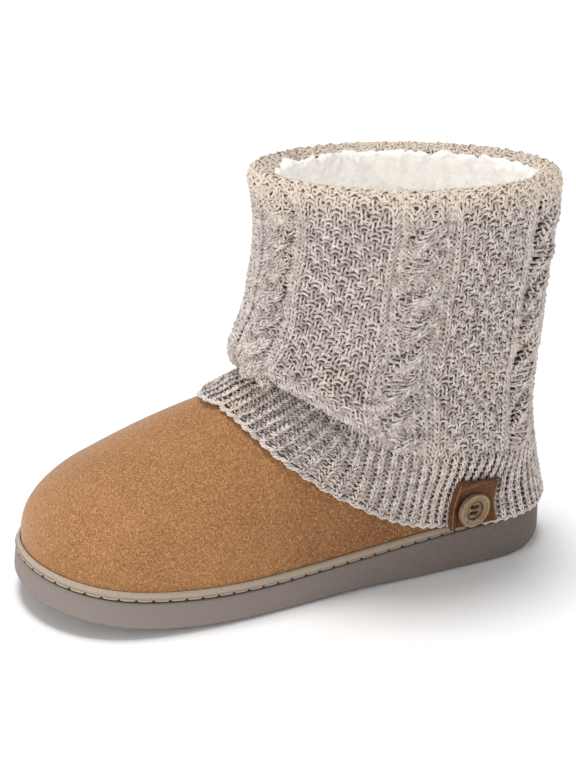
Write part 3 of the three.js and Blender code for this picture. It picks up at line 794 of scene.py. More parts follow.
@dataclass
class Sleeve:
    """The shaft's outer face as a function of stitch and row, on a fine grid.

    Column coordinates count stitches around from the front cable, and row coordinates count
    rows up from the hem.
    """

    foot: Foot
    length: float = 146 * MM
    width: float = 120 * MM
    centre: float = 48 * MM
    collar_height: float = 185.2 * MM
    collar_tilt: float = 0.9 * MM
    wall: float = 3.2 * MM
    roll: float = 7 * MM
    clearance: float = 0.35 * MM
    knit_clearance: float = 0.95 * MM
    first_cable: float = 166.0
    stitches: int = 162
    rows_per_climb: float = 66.0
    last_climb: float = 0.91
    fold_climb: float = 0.2
    per_stitch: int = 2
    per_row: int = 2
    heel_turns: tuple = (60.0, 76.0)
    heel_drop: float = 2.0 * MM
    hang_climb: float = 0.16
    throat_between: tuple = (40 * MM, 100 * MM)
    throat_margin: float = 0.2 * MM
    seated_climb: tuple = (0.05, 0.2)
    clear_climb: float = 0.5
    even_climb: tuple = (0.2, 0.3)

    def turn_around(self, share: Array) -> Array:
        """The turn at a share of the way around the shaft, counted from the front cable.

        Args:
            share: shares of the way around.

        Returns:
            The turns in radians.
        """
        turn = math.radians(self.first_cable) + np.linspace(0, 2 * np.pi, 361)
        points = np.stack([self.length / 2 * np.cos(turn), self.width / 2 * np.sin(turn)], -1)
        run = run_along(points)
        return np.interp(np.asarray(share) % 1, run / run[-1], turn)

    def collar(self, x: Array) -> Array:
        """Height of the collar's top at a place along the foot."""
        return self.collar_height + self.collar_tilt * (x - self.centre) / (self.length / 2)

    def rise(self, turn: Array, climb: Array) -> Array:
        """How high a row lies.

        Args:
            turn: turn of each place.
            climb: climb of each place.

        Returns:
            Shares of the height from the welt to the collar.
        """
        cos = np.cos(turn)
        row = read_table(SHAFT_ROWS, np.maximum(climb, self.fold_climb))
        back = row[..., 3] + (row[..., 5] - row[..., 3]) * smooth_step(cos, 0, 0.7)
        front = row[..., 3] + (row[..., 1] - row[..., 3]) * np.abs(cos) ** 1.6
        free = np.where(cos > 0, back, front)
        hem = read_table(HEM_LINE, from_heel(turn))[..., 0]
        share = np.clip(climb / self.fold_climb, 0, 1)
        return hem + (free - hem) * share

    def wall_points(self, turn: Array, climb: Array) -> Array:
        """Points of the wall from the tables and dents alone.

        Args:
            turn: turn of each place.
            climb: climb of each place.

        Returns:
            The points.
        """
        row = read_table(SHAFT_ROWS, climb)
        cos = np.cos(turn)
        reach = np.where(cos > 0, row[..., 4], row[..., 0]) * self.length
        x = self.centre + reach * cos
        y = -row[..., 2] * self.width * np.sin(turn)
        base = self.foot.top(x) + self.foot.welt_height + 2 * self.clearance
        z = base + (self.collar(x) - base) * self.rise(turn, climb)
        points = np.stack([x, y, z], -1)
        outward = unit(np.stack([x - self.centre, y, np.zeros_like(x)], -1))
        for at, up, span, up_span, out, lift in SHAFT_DENTS:
            amount = self.wall * swell(np.degrees(turn), climb, at, up, span, up_span)
            points = points + outward * (out * amount)[..., None]
            points[..., 2] += lift * amount
        return points

    def look_in(self, upper: BVHTree, near: Vector, height: float) -> tuple:
        """Looks level at the upper from outside, toward the shaft's axis.

        Args:
            upper: the upper's faces.
            near: a point in the direction to look from.
            height: the height to look at.

        Returns:
            The place that is met and its normal, or None twice.
        """
        out = Vector((near.x - self.centre, near.y, 0)).normalized()
        start = Vector((self.centre, 0, height)) + out * FAR
        return upper.ray_cast(start, -out, FAR)[:2]

    def throat(self, upper: BVHTree, near: Vector) -> float:
        """The height at which the upper ends, in the direction of a point.

        Args:
            upper: the upper's faces.
            near: the point.

        Returns:
            The height.
        """
        low, high = self.throat_between
        for _ in range(12):
            middle = (low + high) / 2
            met = self.look_in(upper, near, middle)[0]
            low, high = (middle, high) if met else (low, middle)
        return low - self.throat_margin

    def settle(self, points: Array, climb: Array, upper: BVHTree) -> Array:
        """Seats the rows near the hem on the upper, and keeps the others clear of it.

        Args:
            points: rows of points.
            climb: each row's climb.
            upper: the upper's faces.

        Returns:
            The moved points.
        """
        proud = self.wall + self.knit_clearance
        settled = points.copy()
        for c in range(points.shape[1]):
            throat = self.throat(upper, Vector(points[0, c]))
            for r in range(points.shape[0]):
                if climb[r] > self.clear_climb:
                    break
                point = Vector(points[r, c])
                seated = 1 - float(smooth_step(climb[r], *self.seated_climb))
                if seated > 0:
                    hit, normal = self.look_in(upper, point, min(point.z, throat))
                    for _ in range(2):
                        lower = point.z - proud * normal.z
                        hit, normal = self.look_in(upper, point, min(lower, throat))
                    point = point.lerp(hit + normal * proud, seated)
                hit, normal = self.look_in(upper, point, min(point.z, throat))
                above = min(max((point.z - hit.z) / proud, 0), 1)
                short = proud * math.sqrt(1 - above**2) - (point - hit).dot(normal)
                if above < 1 and short > 0:
                    point += normal * short
                settled[r, c] = point
        return settled

    def heel_share(self, stitch: Array) -> Array:
        """1 around the heel, where the hem hangs over the welt, and 0 along the foot."""
        turn = self.turn_around(np.asarray(stitch) / self.stitches)
        return 1 - smooth_step(from_heel(turn), *self.heel_turns)

    def crease(self, grid: Array, turn: Array, climb: Array) -> Array:
        """Adds the soft ridges and troughs, and lets the hem hang over the welt at the heel.

        Args:
            grid: rows of points.
            turn: each column's turn.
            climb: each row's climb.

        Returns:
            The moved points.
        """
        around = np.roll(grid, -1, 1) - np.roll(grid, 1, 1)
        normals = unit(np.cross(np.gradient(grid, axis=0), around))
        degrees = np.degrees(turn)[None, :]
        for at, up, span, up_span, height in SHAFT_CREASES:
            amount = height * MM * swell(degrees, climb[:, None], at, up, span, up_span)
            grid = grid + normals * amount[..., None]
        heel = self.heel_share(np.arange(grid.shape[1]) / self.per_stitch)
        hang = np.zeros_like(grid)
        hang[..., 2] = self.heel_drop * (1 - smooth_step(climb, 0, self.hang_climb))[:, None] * heel
        return grid - hang

    def build(self, upper: BVHTree) -> None:
        """Works out the grid of points and normals.

        Args:
            upper: the finished suede upper that the hem lies on.
        """
        columns = self.stitches * self.per_stitch
        turn = self.turn_around(np.arange(columns) / columns)
        wall_rows = int(round(self.last_climb * self.rows_per_climb * self.per_row))
        climb = np.arange(wall_rows + 1) / (self.rows_per_climb * self.per_row)
        grid = self.wall_points(*np.meshgrid(turn, climb))
        grid = self.settle(grid, climb, upper)
        grid = self.crease(grid, turn, climb)
        for _ in range(3):
            blend = (np.roll(grid, 1, 1) + np.roll(grid, -1, 1)) / 2
            share = (1 - smooth_step(climb, *self.even_climb))[:, None, None]
            grid = grid + (blend - grid) * 0.5 * share
        height = self.collar_height - self.foot.heel - self.foot.welt_height
        pitch = height / self.rows_per_climb / self.per_row
        rolled = np.concatenate([grid[-1:], self.collar_points(turn)])
        run = run_along(rolled[:, 0])
        steps = np.arange(1, int(run[-1] / pitch) + 1) * pitch
        place = np.interp(steps, run, np.arange(len(run)))
        k = np.clip(place.astype(int), 0, len(run) - 2)
        t = (place - k)[:, None, None]
        collar = rolled[k] * (1 - t) + rolled[k + 1] * t
        self.grid = np.concatenate([grid, collar])
        for _ in range(2):
            middle = self.grid[-len(collar) - 4:]
            middle[1:-1] = (middle[:-2] + 2 * middle[1:-1] + middle[2:]) / 4
        around = np.roll(self.grid, -1, 1) - np.roll(self.grid, 1, 1)
        along = np.gradient(self.grid, axis=0)
        self.normals = unit(np.cross(along, around))
        self.rows = (len(self.grid) - 1) / self.per_row

    def collar_points(self, turn: Array) -> Array:
        """Rings of the rolled collar.

        Args:
            turn: each column's turn.

        Returns:
            Rows of points.
        """
        rings = []
        for inward, down in COLLAR_ROWS:
            x = self.centre + (self.length / 2 - inward * self.roll) * np.cos(turn)
            y = -(self.width / 2 - inward * self.roll) * np.sin(turn)
            rings.append(np.stack([x, y, self.collar(x) - down * self.roll], -1))
        return np.array(rings)

    def ellipse_reach(self, turn: Array, inward: float) -> Array:
        """Distance from the axis to the collar's outline, moved in."""
        a, b = self.length / 2 - inward, self.width / 2 - inward
        return a * b / np.hypot(b * np.cos(turn), a * np.sin(turn))

    def at(self, stitch: Array, row: Array, lift: Array) -> Array:
        """Points on or above the face.

        Args:
            stitch: column coordinates.
            row: row coordinates.
            lift: distances out from the face.

        Returns:
            The points.
        """
        u = np.asarray(stitch) * self.per_stitch
        v = np.clip(np.asarray(row) * self.per_row, 0, len(self.grid) - 1.001)
        c, r = np.floor(u).astype(int), np.floor(v).astype(int)
        s, t = (u - c)[..., None], (v - r)[..., None]
        columns = self.grid.shape[1]
        c0, c1 = c % columns, (c + 1) % columns

        def mixed(field: Array) -> Array:
            """Value of a field between its four nearest places.

            Args:
                field: a value for each row and column of the grid.

            Returns:
                The values.
            """
            low = field[r, c0] * (1 - s) + field[r, c1] * s
            high = field[r + 1, c0] * (1 - s) + field[r + 1, c1] * s
            return low * (1 - t) + high * t

        return mixed(self.grid) + unit(mixed(self.normals)) * np.asarray(lift)[..., None]


class Stitch(Enum):
    """The kinds of column that the knit is charted in."""

    RIB = 0
    ROPE = 1
    GUTTER = 2
    PILLAR = 3
    MOSS = 4


@dataclass
class Chart:
    """The columns of one knitted round: where each starts, how wide it is and what it is."""

    start: Array
    width: Array
    kind: Array

    def __len__(self) -> int:
        """The number of columns."""
        return len(self.start)


@dataclass
class Knitting:
    """The knit of the shaft, one yarn for each row, with every stitch modelled.

    A repeat of the chart is a four-stitch rope cable between wide purl gutters and single knit
    columns, then double moss stitch up to the next cable. The hem is one-by-one rib, and the
    rolled collar is moss all around. Widths are in stitches of the rib.
    """

    sleeve: Sleeve
    repeat: int = 27
    rib_rows: int = 13
    collar_row: float = 63.0
    rope_half: int = 2
    rope_width: float = 1.68
    gutter_width: float = 1.75
    gutter_columns: int = 2
    pillar_width: float = 1.2
    moss_columns: int = 9
    crossing: float = 6.0
    crossing_spread: float = 0.45
    rope_pack: float = 0.97
    rope_round: float = 0.7
    rope_rise: float = 2.4 * MM
    rope_over: float = 2.3 * MM
    rope_foot: float = 0.15
    gutter_sink: float = 0.5 * MM
    gutter_depth: float = 0.35 * MM
    pillar_rise: float = 0.6 * MM
    yarn: float = 0.56 * MM
    moss_yarn: float = 0.6 * MM
    rope_yarn: float = 0.64 * MM
    gutter_yarn: float = 0.76 * MM
    mean_depth: float = 1.2 * MM
    loop_depth: float = 0.62 * MM
    moss_depth: float = 0.85 * MM
    rib_relief: float = 0.85 * MM
    loop_height: float = 0.86
    leg: float = 0.25
    leg_lean: float = 0.21
    moss_leg: float = 0.32
    moss_lean: float = 0.05
    purl_leg: float = 0.14
    hem_drop: float = 1.3 * MM
    edge_row: float = 2.4 * MM
    edge_coil: float = 0.45 * MM
    vary_across: float = 0.035
    vary_up: float = 0.07
    vary_lift: float = 0.1 * MM
    vary_yarn: float = 0.08
    vary_tilt: float = 0.05
    vary_depth: float = 0.15
    rib_sway: float = 0.35
    # Size, waves around, turn for each row and start of the slow drift
    across_waves: tuple = ((0.22, 9, 0.21, 0), (0.16, 17, -0.34, 1.3))
    along_waves: tuple = ((0.24, 13, 0.13, 0.6), (0.14, 29, -0.27, 0))
    sides: int = 4
    steps: int = 8
    body_bands: int = 3
    seed: int = 7

    def rib_chart(self) -> Chart:
        """The columns of a ribbed row."""
        count = self.sleeve.stitches
        return Chart(np.arange(count, dtype=float), np.ones(count), np.full(count, Stitch.RIB.value))

    def body_chart(self) -> Chart:
        """The columns of a row above the rib.

        Returns:
            The chart.
        """
        cable = 2 * (self.rope_half * self.rope_width + self.gutter_width + self.pillar_width)
        spare = self.repeat - cable
        half = [(Stitch.ROPE, self.rope_width)] * self.rope_half
        half += [(Stitch.GUTTER, self.gutter_width / self.gutter_columns)] * self.gutter_columns
        half += [(Stitch.PILLAR, self.pillar_width)]
        moss = [(Stitch.MOSS, spare / self.moss_columns)] * self.moss_columns
        repeat = half + moss + half[::-1]
        times = self.sleeve.stitches // self.repeat
        width = np.tile([w for _, w in repeat], times)
        kind = np.tile([k.value for k, _ in repeat], times)
        return Chart(np.concatenate([[0], np.cumsum(width)[:-1]]), width, kind)

    def mossy(self, kind: Array, rows: Array) -> Array:
        """Where the fabric is moss: in its own columns, and all around in the collar."""
        return (kind == Stitch.MOSS.value) | (rows >= self.collar_row)

    def side(self, chart: Chart, rows: Array) -> Array:
        """The side of each stitch.

        Args:
            chart: the columns.
            rows: row numbers.

        Returns:
            1 where a stitch is knit and -1 where it is purl, for each row and column.
        """
        column = np.arange(len(chart))[None, :]
        row = rows[:, None]
        kind = chart.kind[None, :]
        moss = np.where((column + row // 2) % 2 == 0, 1, -1)
        rib = np.where(column % 2 == 0, 1, -1)
        body = np.where((kind == Stitch.ROPE.value) | (kind == Stitch.PILLAR.value), 1, -1)
        body = np.where(self.mossy(kind, row), moss, body)
        return np.where(kind == Stitch.RIB.value, rib, body)

    def cabled(self, v: Array) -> Array:
        """How far the cables are grown at a row: 0 in the rib and the collar, 1 between."""
        foot = smooth_step(v, self.rib_rows - 1, self.rib_rows + 2)
        return foot * (1 - smooth_step(v, self.collar_row - 3, self.collar_row + 1))

    def warp(self, kind: Array, u: Array, v: Array) -> tuple[Array, Array]:
        """Moves points for the cables, gutters and pillars.

        Args:
            kind: the kind of column that each point belongs to.
            u: column coordinates of the points.
            v: row coordinates of the points.

        Returns:
            The new column coordinates, and how far the points are lifted.
        """
        centre = np.round(u / self.repeat) * self.repeat
        place = u - centre
        half = self.rope_half * self.rope_width / 2
        sign = np.where(place < 0, 1.0, -1.0)
        phase = np.pi * (v - self.rib_rows) / self.crossing
        spread = 1 + self.crossing_spread * np.abs(np.sin(phase))
        local = place + sign * half
        rope_u = centre - sign * half * np.cos(phase) + local * spread * self.rope_pack
        bulge = np.clip(1 - (local / half) ** 2, 0, 1) ** self.rope_round
        crown = self.rope_rise - sign * self.rope_over * np.sin(phase)
        rope_lift = crown * (self.rope_foot + (1 - self.rope_foot) * bulge)
        grown = self.cabled(v)
        edge = half * (np.abs(np.cos(phase)) + spread)
        share = (np.abs(place) - 2 * half) / self.gutter_width
        gutter_u = centre - sign * (edge + (2 * half + self.gutter_width - edge) * share)
        rope = kind == Stitch.ROPE.value
        gutter = kind == Stitch.GUTTER.value
        moved = np.where(rope, rope_u, np.where(gutter, gutter_u, u))
        lift = np.where(rope, rope_lift, 0.0) - np.where(gutter, self.gutter_sink, 0.0)
        lift = lift + np.where(kind == Stitch.PILLAR.value, self.pillar_rise, 0.0)
        return u + (moved - u) * grown, lift * grown

    def sway(self, u: Array, v: Array) -> tuple[Array, Array]:
        """Slow drift of the stitches across the fabric.

        Args:
            u: column coordinates.
            v: row coordinates.

        Returns:
            How far each place drifts, in columns and in rows.
        """
        around = 2 * np.pi * u / self.sleeve.stitches

        def drift(waves: tuple) -> Array:
            """Sum of some waves."""
            return sum(size * np.sin(count * around + rate * v + at) for size, count, rate, at in waves)

        return drift(self.across_waves), drift(self.along_waves)

    def tube(self, name: str, paths: Array, radius: Array) -> bpy.types.Object:
        """Closed rings of tube along many paths of equal length.

        Args:
            name: the piece's name.
            paths: path, step and x, y, z.
            radius: the tube's radius at each step.

        Returns:
            The piece, with a UV map that runs along and around the yarn.
        """
        count, steps = paths.shape[:2]
        n = self.sides
        tangent = unit(np.roll(paths, -1, 1) - np.roll(paths, 1, 1))
        axis = np.zeros_like(paths)
        axis[..., 0] = self.sleeve.centre
        axis[..., 2] = paths[..., 2]
        side = unit(np.cross(tangent, unit(paths - axis)))
        out = np.cross(side, tangent)
        angle = (np.arange(n) * 2 * np.pi / n)[:, None]
        ring = side[:, :, None] * np.cos(angle) + out[:, :, None] * np.sin(angle)
        points = paths[:, :, None] + ring * radius[:, :, None, None]
        p = np.arange(count)[:, None, None] * steps * n
        here = np.arange(steps)[None, :, None] * n
        there = ((np.arange(steps) + 1) % steps)[None, :, None] * n
        k0 = np.arange(n)
        k1 = (k0 + 1) % n
        quads = np.stack([p + here + k0, p + there + k0, p + there + k1, p + here + k1], -1)
        obj = new_mesh(name, points.reshape(-1, 3), quads.reshape(-1, 4))
        run = np.linalg.norm(np.roll(paths, -1, 1) - paths, axis=-1).cumsum(1) / MM
        begin = np.concatenate([np.zeros((count, 1)), run[:, :-1]], 1)
        u0 = np.broadcast_to(begin[:, :, None], (count, steps, n))
        u1 = np.broadcast_to(run[:, :, None], (count, steps, n))
        v0 = np.broadcast_to(k0 / n, (count, steps, n))
        corners = ((u0, v0), (u1, v0), (u1, v0 + 1 / n), (u0, v0 + 1 / n))
        uv = np.stack([np.stack(corner, -1) for corner in corners], -2)
        layer = obj.data.uv_layers.new(name="yarn")
        layer.data.foreach_set("uv", np.ascontiguousarray(uv, np.float32).ravel())
        return obj

    def loop_across(self, chart: Chart, rows: Array, facing: Array) -> Array:
        """Where each step of a loop lies across its column.

        Args:
            chart: the columns.
            rows: row numbers.
            facing: 1 for knit and -1 for purl, with a last axis for the steps.

        Returns:
            Shares of the column's width, for each row, column and step.
        """
        kind = chart.kind[None, :, None]
        wide = self.mossy(kind, rows[:, None, None]) | (kind == Stitch.GUTTER.value)
        leg = np.where(wide, np.where(facing > 0, self.moss_leg, self.purl_leg), self.leg)
        lean = np.where(wide, self.moss_lean, self.leg_lean)
        low, high = leg + lean, leg - lean
        zero, half = np.zeros_like(leg), np.full_like(leg, 0.5)
        return np.concatenate([zero, low, leg, high, half, 1 - high, 1 - leg, 1 - low], -1)

    def row_paths(self, chart: Chart, rows: Array) -> tuple[Array, Array]:
        """The yarn of some rows.

        Args:
            chart: the columns of those rows.
            rows: row numbers.

        Returns:
            Paths and radii.
        """
        random = np.random.default_rng(self.seed + int(rows[0]))
        shape = (len(rows), len(chart), self.steps)
        jitter = random.normal(0, 1, (len(rows), len(chart), 6))[:, :, None]
        theta = np.arange(self.steps) * 2 * np.pi / self.steps
        facing = self.side(chart, rows).astype(float)
        across = self.loop_across(chart, rows, facing[:, :, None])
        tilt = self.vary_tilt * jitter[..., 4] * np.cos(theta)
        sign = np.repeat(facing[:, :, None], self.steps, 2)
        sign[:, :, 0] = (facing + np.roll(facing, 1, 1)) / 2
        kind = np.broadcast_to(chart.kind[None, :, None], shape)
        place = across + tilt + self.vary_across * jitter[..., 0]
        u = chart.start[None, :, None] + place * chart.width[None, :, None]
        v = rows[:, None, None] + 0.5 - self.loop_height * np.cos(theta) + self.vary_up * jitter[..., 1]
        mossy = self.mossy(kind, rows[:, None, None])
        depth = np.where(kind == Stitch.GUTTER.value, self.gutter_depth, self.loop_depth)
        depth = np.where(mossy, self.moss_depth, depth) * (1 + self.vary_depth * jitter[..., 5])
        lift = -depth * np.cos(2 * theta) * sign + self.vary_lift * jitter[..., 2]
        u, more = self.warp(kind, u, v)
        ribbed = kind == Stitch.RIB.value
        lift = lift + np.where(ribbed, sign * self.rib_relief, 0.0)
        drift_u, drift_v = self.sway(u, v)
        calm = np.where(ribbed, self.rib_sway, 1.0)
        hem = (1 - smooth_step(v, 0, 6)) * self.hem_drop * (1 - self.sleeve.heel_share(u))
        lift = lift + more - self.mean_depth - hem
        points = self.sleeve.at(u + drift_u * calm, v + drift_v * calm * (v > 2), lift)
        radius = np.where(kind == Stitch.ROPE.value, self.rope_yarn, self.yarn)
        radius = np.where(kind == Stitch.GUTTER.value, self.gutter_yarn, radius)
        radius = np.where(mossy, self.moss_yarn, radius)
        radius = radius * (1 + self.vary_yarn * jitter[..., 3])
        return points.reshape(len(rows), -1, 3), radius.reshape(len(rows), -1)

    def hem_edge(self) -> bpy.types.Object:
        """The cast-on edge: two strands that coil around each other once for each stitch.

        Returns:
            The piece.
        """
        count = self.sleeve.stitches * self.steps
        t = np.arange(count) / self.steps
        up = self.rise_direction(t)
        tuck = self.hem_drop * (1 - self.sleeve.heel_share(t))
        paths = []
        for phase in (0.0, np.pi):
            turn = 2 * np.pi * t + phase
            row = -0.35 + 0.3 * np.cos(turn) - 0.2 * np.cos(np.pi * t)
            lift = self.edge_coil * np.sin(turn) - self.mean_depth - tuck
            foot = self.sleeve.at(t, np.zeros(count), lift)
            paths.append(foot + up * (row * self.edge_row)[:, None])
        paths = np.array(paths)
        return self.tube("knit_hem_edge", paths, np.full(paths.shape[:2], self.yarn))

    def rise_direction(self, stitch: Array) -> Array:
        """The direction up the face at the hem."""
        still = np.zeros(len(stitch))
        return unit(self.sleeve.at(stitch, still + 1, still) - self.sleeve.at(stitch, still, still))

    def build(self) -> None:
        """Knits the shaft in bands, with its hem edge."""
        total = int(self.sleeve.rows)
        edges = np.linspace(self.rib_rows, total, self.body_bands + 1).round().astype(int)
        plan = [("knit_rib", self.rib_chart(), np.arange(self.rib_rows))]
        for band in range(self.body_bands):
            rows = np.arange(edges[band], edges[band + 1])
            plan.append((f"knit_band_{band + 1}", self.body_chart(), rows))
        for name, chart, rows in plan:
            piece = self.tube(name, *self.row_paths(chart, rows))
            nodes = ["knit_shaft"] if name == "knit_rib" else []
            dress(piece, Finish.YARN, "knit", *nodes)
            log.info("%s: %d rows, %d faces", name, len(rows), len(piece.data.polygons))
        edge = dress(self.hem_edge(), Finish.YARN, "knit")
        log.info("%s: %d faces", edge.name, len(edge.data.polygons))


@dataclass
class Backing:
    """An inner layer behind the knit, coloured brown as painted shade for the holes of the knit."""

    sleeve: Sleeve
    depth: float = 2.35 * MM
    thickness: float = 0.4 * MM
    collar_rise: float = 0.6 * MM
    collar_rows: tuple = (59.0, 64.0)
    rib_sink: float = 0.95 * MM
    rib_rows: tuple = (10.0, 14.0)

    def build(self) -> BVHTree:
        """Makes a closed thin shell behind the knit.

        Returns:
            A tree of its faces.
        """
        columns = np.arange(0, self.sleeve.stitches, 1.0)
        rows = np.arange(0.4, self.sleeve.rows - 0.5, 1.0)
        u, v = np.meshgrid(columns, rows)
        depth = self.depth - self.collar_rise * smooth_step(v, *self.collar_rows)
        depth = depth + self.rib_sink * (1 - smooth_step(v, *self.rib_rows))
        outer = self.sleeve.at(u, v, -depth)
        inner = self.sleeve.at(u, v, -depth - self.thickness)
        grid = np.concatenate([outer, inner[::-1]])
        piece = new_mesh("knit_backing_shade", grid.reshape(-1, 3), grid_quads(len(grid), len(columns), True))
        dress(piece, Finish.BACKING_SHADE, "knit")
        log.info("%s: %d faces", piece.name, len(piece.data.polygons))
        return BVHTree.FromObject(piece, bpy.context.evaluated_depsgraph_get())


@dataclass
class Lining:
    """The fleece inside, from the collar down to the insole."""

    sleeve: Sleeve
    thickness: float = 3.2 * MM
    clearance: float = 1.0 * MM
    columns: int = 250
    top_down: float = 3.6 * MM
    top_inward: float = 12.0 * MM
    ease: float = 10 * MM
    ease_rows: tuple = (3 * MM, 28 * MM)
    bottom: float = 26 * MM
    step: float = 1.25 * MM
    outer_skip: int = 4
    long_lump: float = 7 * MM
    long_strength: float = 6.5 * MM
    short_lump: float = 3.0 * MM
    short_strength: float = 3.5 * MM
    edge_tuck: float = 0.4
    smoothing: int = 3

    def reach(self, trees: tuple, turn: Array, heights: Array) -> Array:
        """Free distance from the shaft's axis.

        Args:
            trees: the faces to stay inside.
            turn: turn of each column.
            heights: height of each point, by ring and column.

        Returns:
            The distances.
        """
        reach = np.zeros(heights.shape)
        for (r, c), height in np.ndenumerate(heights):
            start = Vector((self.sleeve.centre, 0, height))
            out = Vector((math.cos(turn[c]), -math.sin(turn[c]), 0))
            hits = [tree.ray_cast(start, out, FAR)[3] for tree in trees]
            reach[r, c] = min(hit if hit else FAR for hit in hits)
        return reach

    def shrink(self, reach: Array) -> Array:
        """Takes the least of each neighbourhood, then blurs, so that the form stays inside.

        Args:
            reach: distance from the axis, by ring and column.

        Returns:
            The smooth distances.
        """
        for _ in range(self.smoothing):
            padded = np.pad(reach, ((1, 1), (0, 0)), "edge")
            reach = np.minimum(np.minimum(padded[:-2], padded[2:]), reach)
            reach = np.minimum(np.minimum(np.roll(reach, 1, 1), np.roll(reach, -1, 1)), reach)
        for _ in range(2 * self.smoothing):
            padded = np.pad(reach, ((1, 1), (0, 0)), "edge")
            reach = (padded[:-2] + padded[2:] + 2 * reach) / 4
            reach = (np.roll(reach, 1, 1) + np.roll(reach, -1, 1) + 2 * reach) / 4
        return reach

    def build(self, trees: tuple) -> None:
        """Makes a closed shell of lumpy fleece.

        Args:
            trees: the backing and the upper, which the lining stays inside.
        """
        sleeve = self.sleeve
        turn = np.arange(self.columns) * 2 * np.pi / self.columns
        edge = sleeve.ellipse_reach(turn, self.top_inward)
        top = sleeve.collar(sleeve.centre + edge * np.cos(turn)) - self.top_down
        rings = int((top.min() - self.bottom) / self.step)
        share = np.linspace(0, 1, rings)[:, None]
        heights = top * (1 - share) + self.bottom * share
        limit = edge + self.ease * smooth_step(top - heights, *self.ease_rows)
        free = self.shrink(self.reach(trees, turn, heights)) - self.clearance
        reach = np.minimum(free, limit)
        inside = reach - self.thickness
        inside[0] += self.edge_tuck * self.thickness
        faces = []
        for distance in (reach, inside):
            x = sleeve.centre + distance * np.cos(turn)
            faces.append(np.stack([x, -distance * np.sin(turn), heights], -1))
        outer = faces[0][:: self.outer_skip][::-1]
        grid = np.concatenate([outer, faces[1]])
        quads = grid_quads(len(grid), self.columns, True)[:, ::-1]
        piece = new_mesh("fleece_lining", grid.reshape(-1, 3), quads)
        dress(piece, Finish.FLEECE, "insole_fleece")
        self.fluff(piece, (len(outer) - 2) * self.columns)
        log.info("%s: %d faces", piece.name, len(piece.data.polygons))

    def fluff(self, piece: bpy.types.Object, first: int) -> None:
        """Pushes the inner face out in soft lumps.

        Args:
            piece: the lining.
            first: the number of the first point that may move.
        """
        group = piece.vertex_groups.new(name="inner")
        group.add(list(range(first, len(piece.data.vertices))), 1.0, "REPLACE")
        lumps = ((self.long_lump, self.long_strength), (self.short_lump, self.short_strength))
        for size, strength in lumps:
            texture = bpy.data.textures.new(f"fleece_{size:.4f}", "CLOUDS")
            texture.noise_scale = size
            apply_modifier(
                piece, "DISPLACE", texture=texture, texture_coords="LOCAL", strength=strength,
                mid_level=0.5, vertex_group="inner",
            )


def tube_along(name: str, path: Array, radius: Array, sides: int, closed: bool) -> bpy.types.Object:
    """A tube along a path, closed on itself or with round caps.

    Args:
        name: the piece's name.
        path: points along the middle.
        radius: the tube's radius at each point.
        sides: sides of its section.
        closed: whether the path is a ring.

    Returns:
        The piece.
    """
    tangent = np.roll(path, -1, 0) - np.roll(path, 1, 0) if closed else np.gradient(path, axis=0)
    tangent = unit(tangent)
    side = unit(np.cross(tangent, np.array([0, 0, 1.0]) + 0.01))
    out = np.cross(side, tangent)
    angle = (np.arange(sides) * 2 * np.pi / sides)[:, None]
    ring = side[:, None] * np.cos(angle) + out[:, None] * np.sin(angle)
    points = (path[:, None] + ring * radius[:, None, None]).reshape(-1, 3)
    quads = grid_quads(len(path), sides, closed)[:, ::-1]
    if closed:
        return new_mesh(name, points, quads)
    last = (len(path) - 1) * sides
    caps = []
    for k in range(1, sides - 1, 2):
        caps.append([0, k, k + 1, (k + 2) % sides])
        caps.append([last, last + (k + 2) % sides, last + k + 1, last + k])
    return new_mesh(name, points, np.concatenate([quads, np.array(caps)]))


def joined(name: str, parts: list) -> bpy.types.Object:
    """Joins objects into one mesh.

    Args:
        name: its new name.
        parts: the objects.

    Returns:
        The first of them, with the others in it.
    """
    bpy.ops.object.select_all(action="DESELECT")
    for part in parts:
        part.select_set(True)
    bpy.context.view_layer.objects.active = parts[0]
    bpy.ops.object.join()
    parts[0].name = name
    parts[0].data.name = name
    return parts[0]


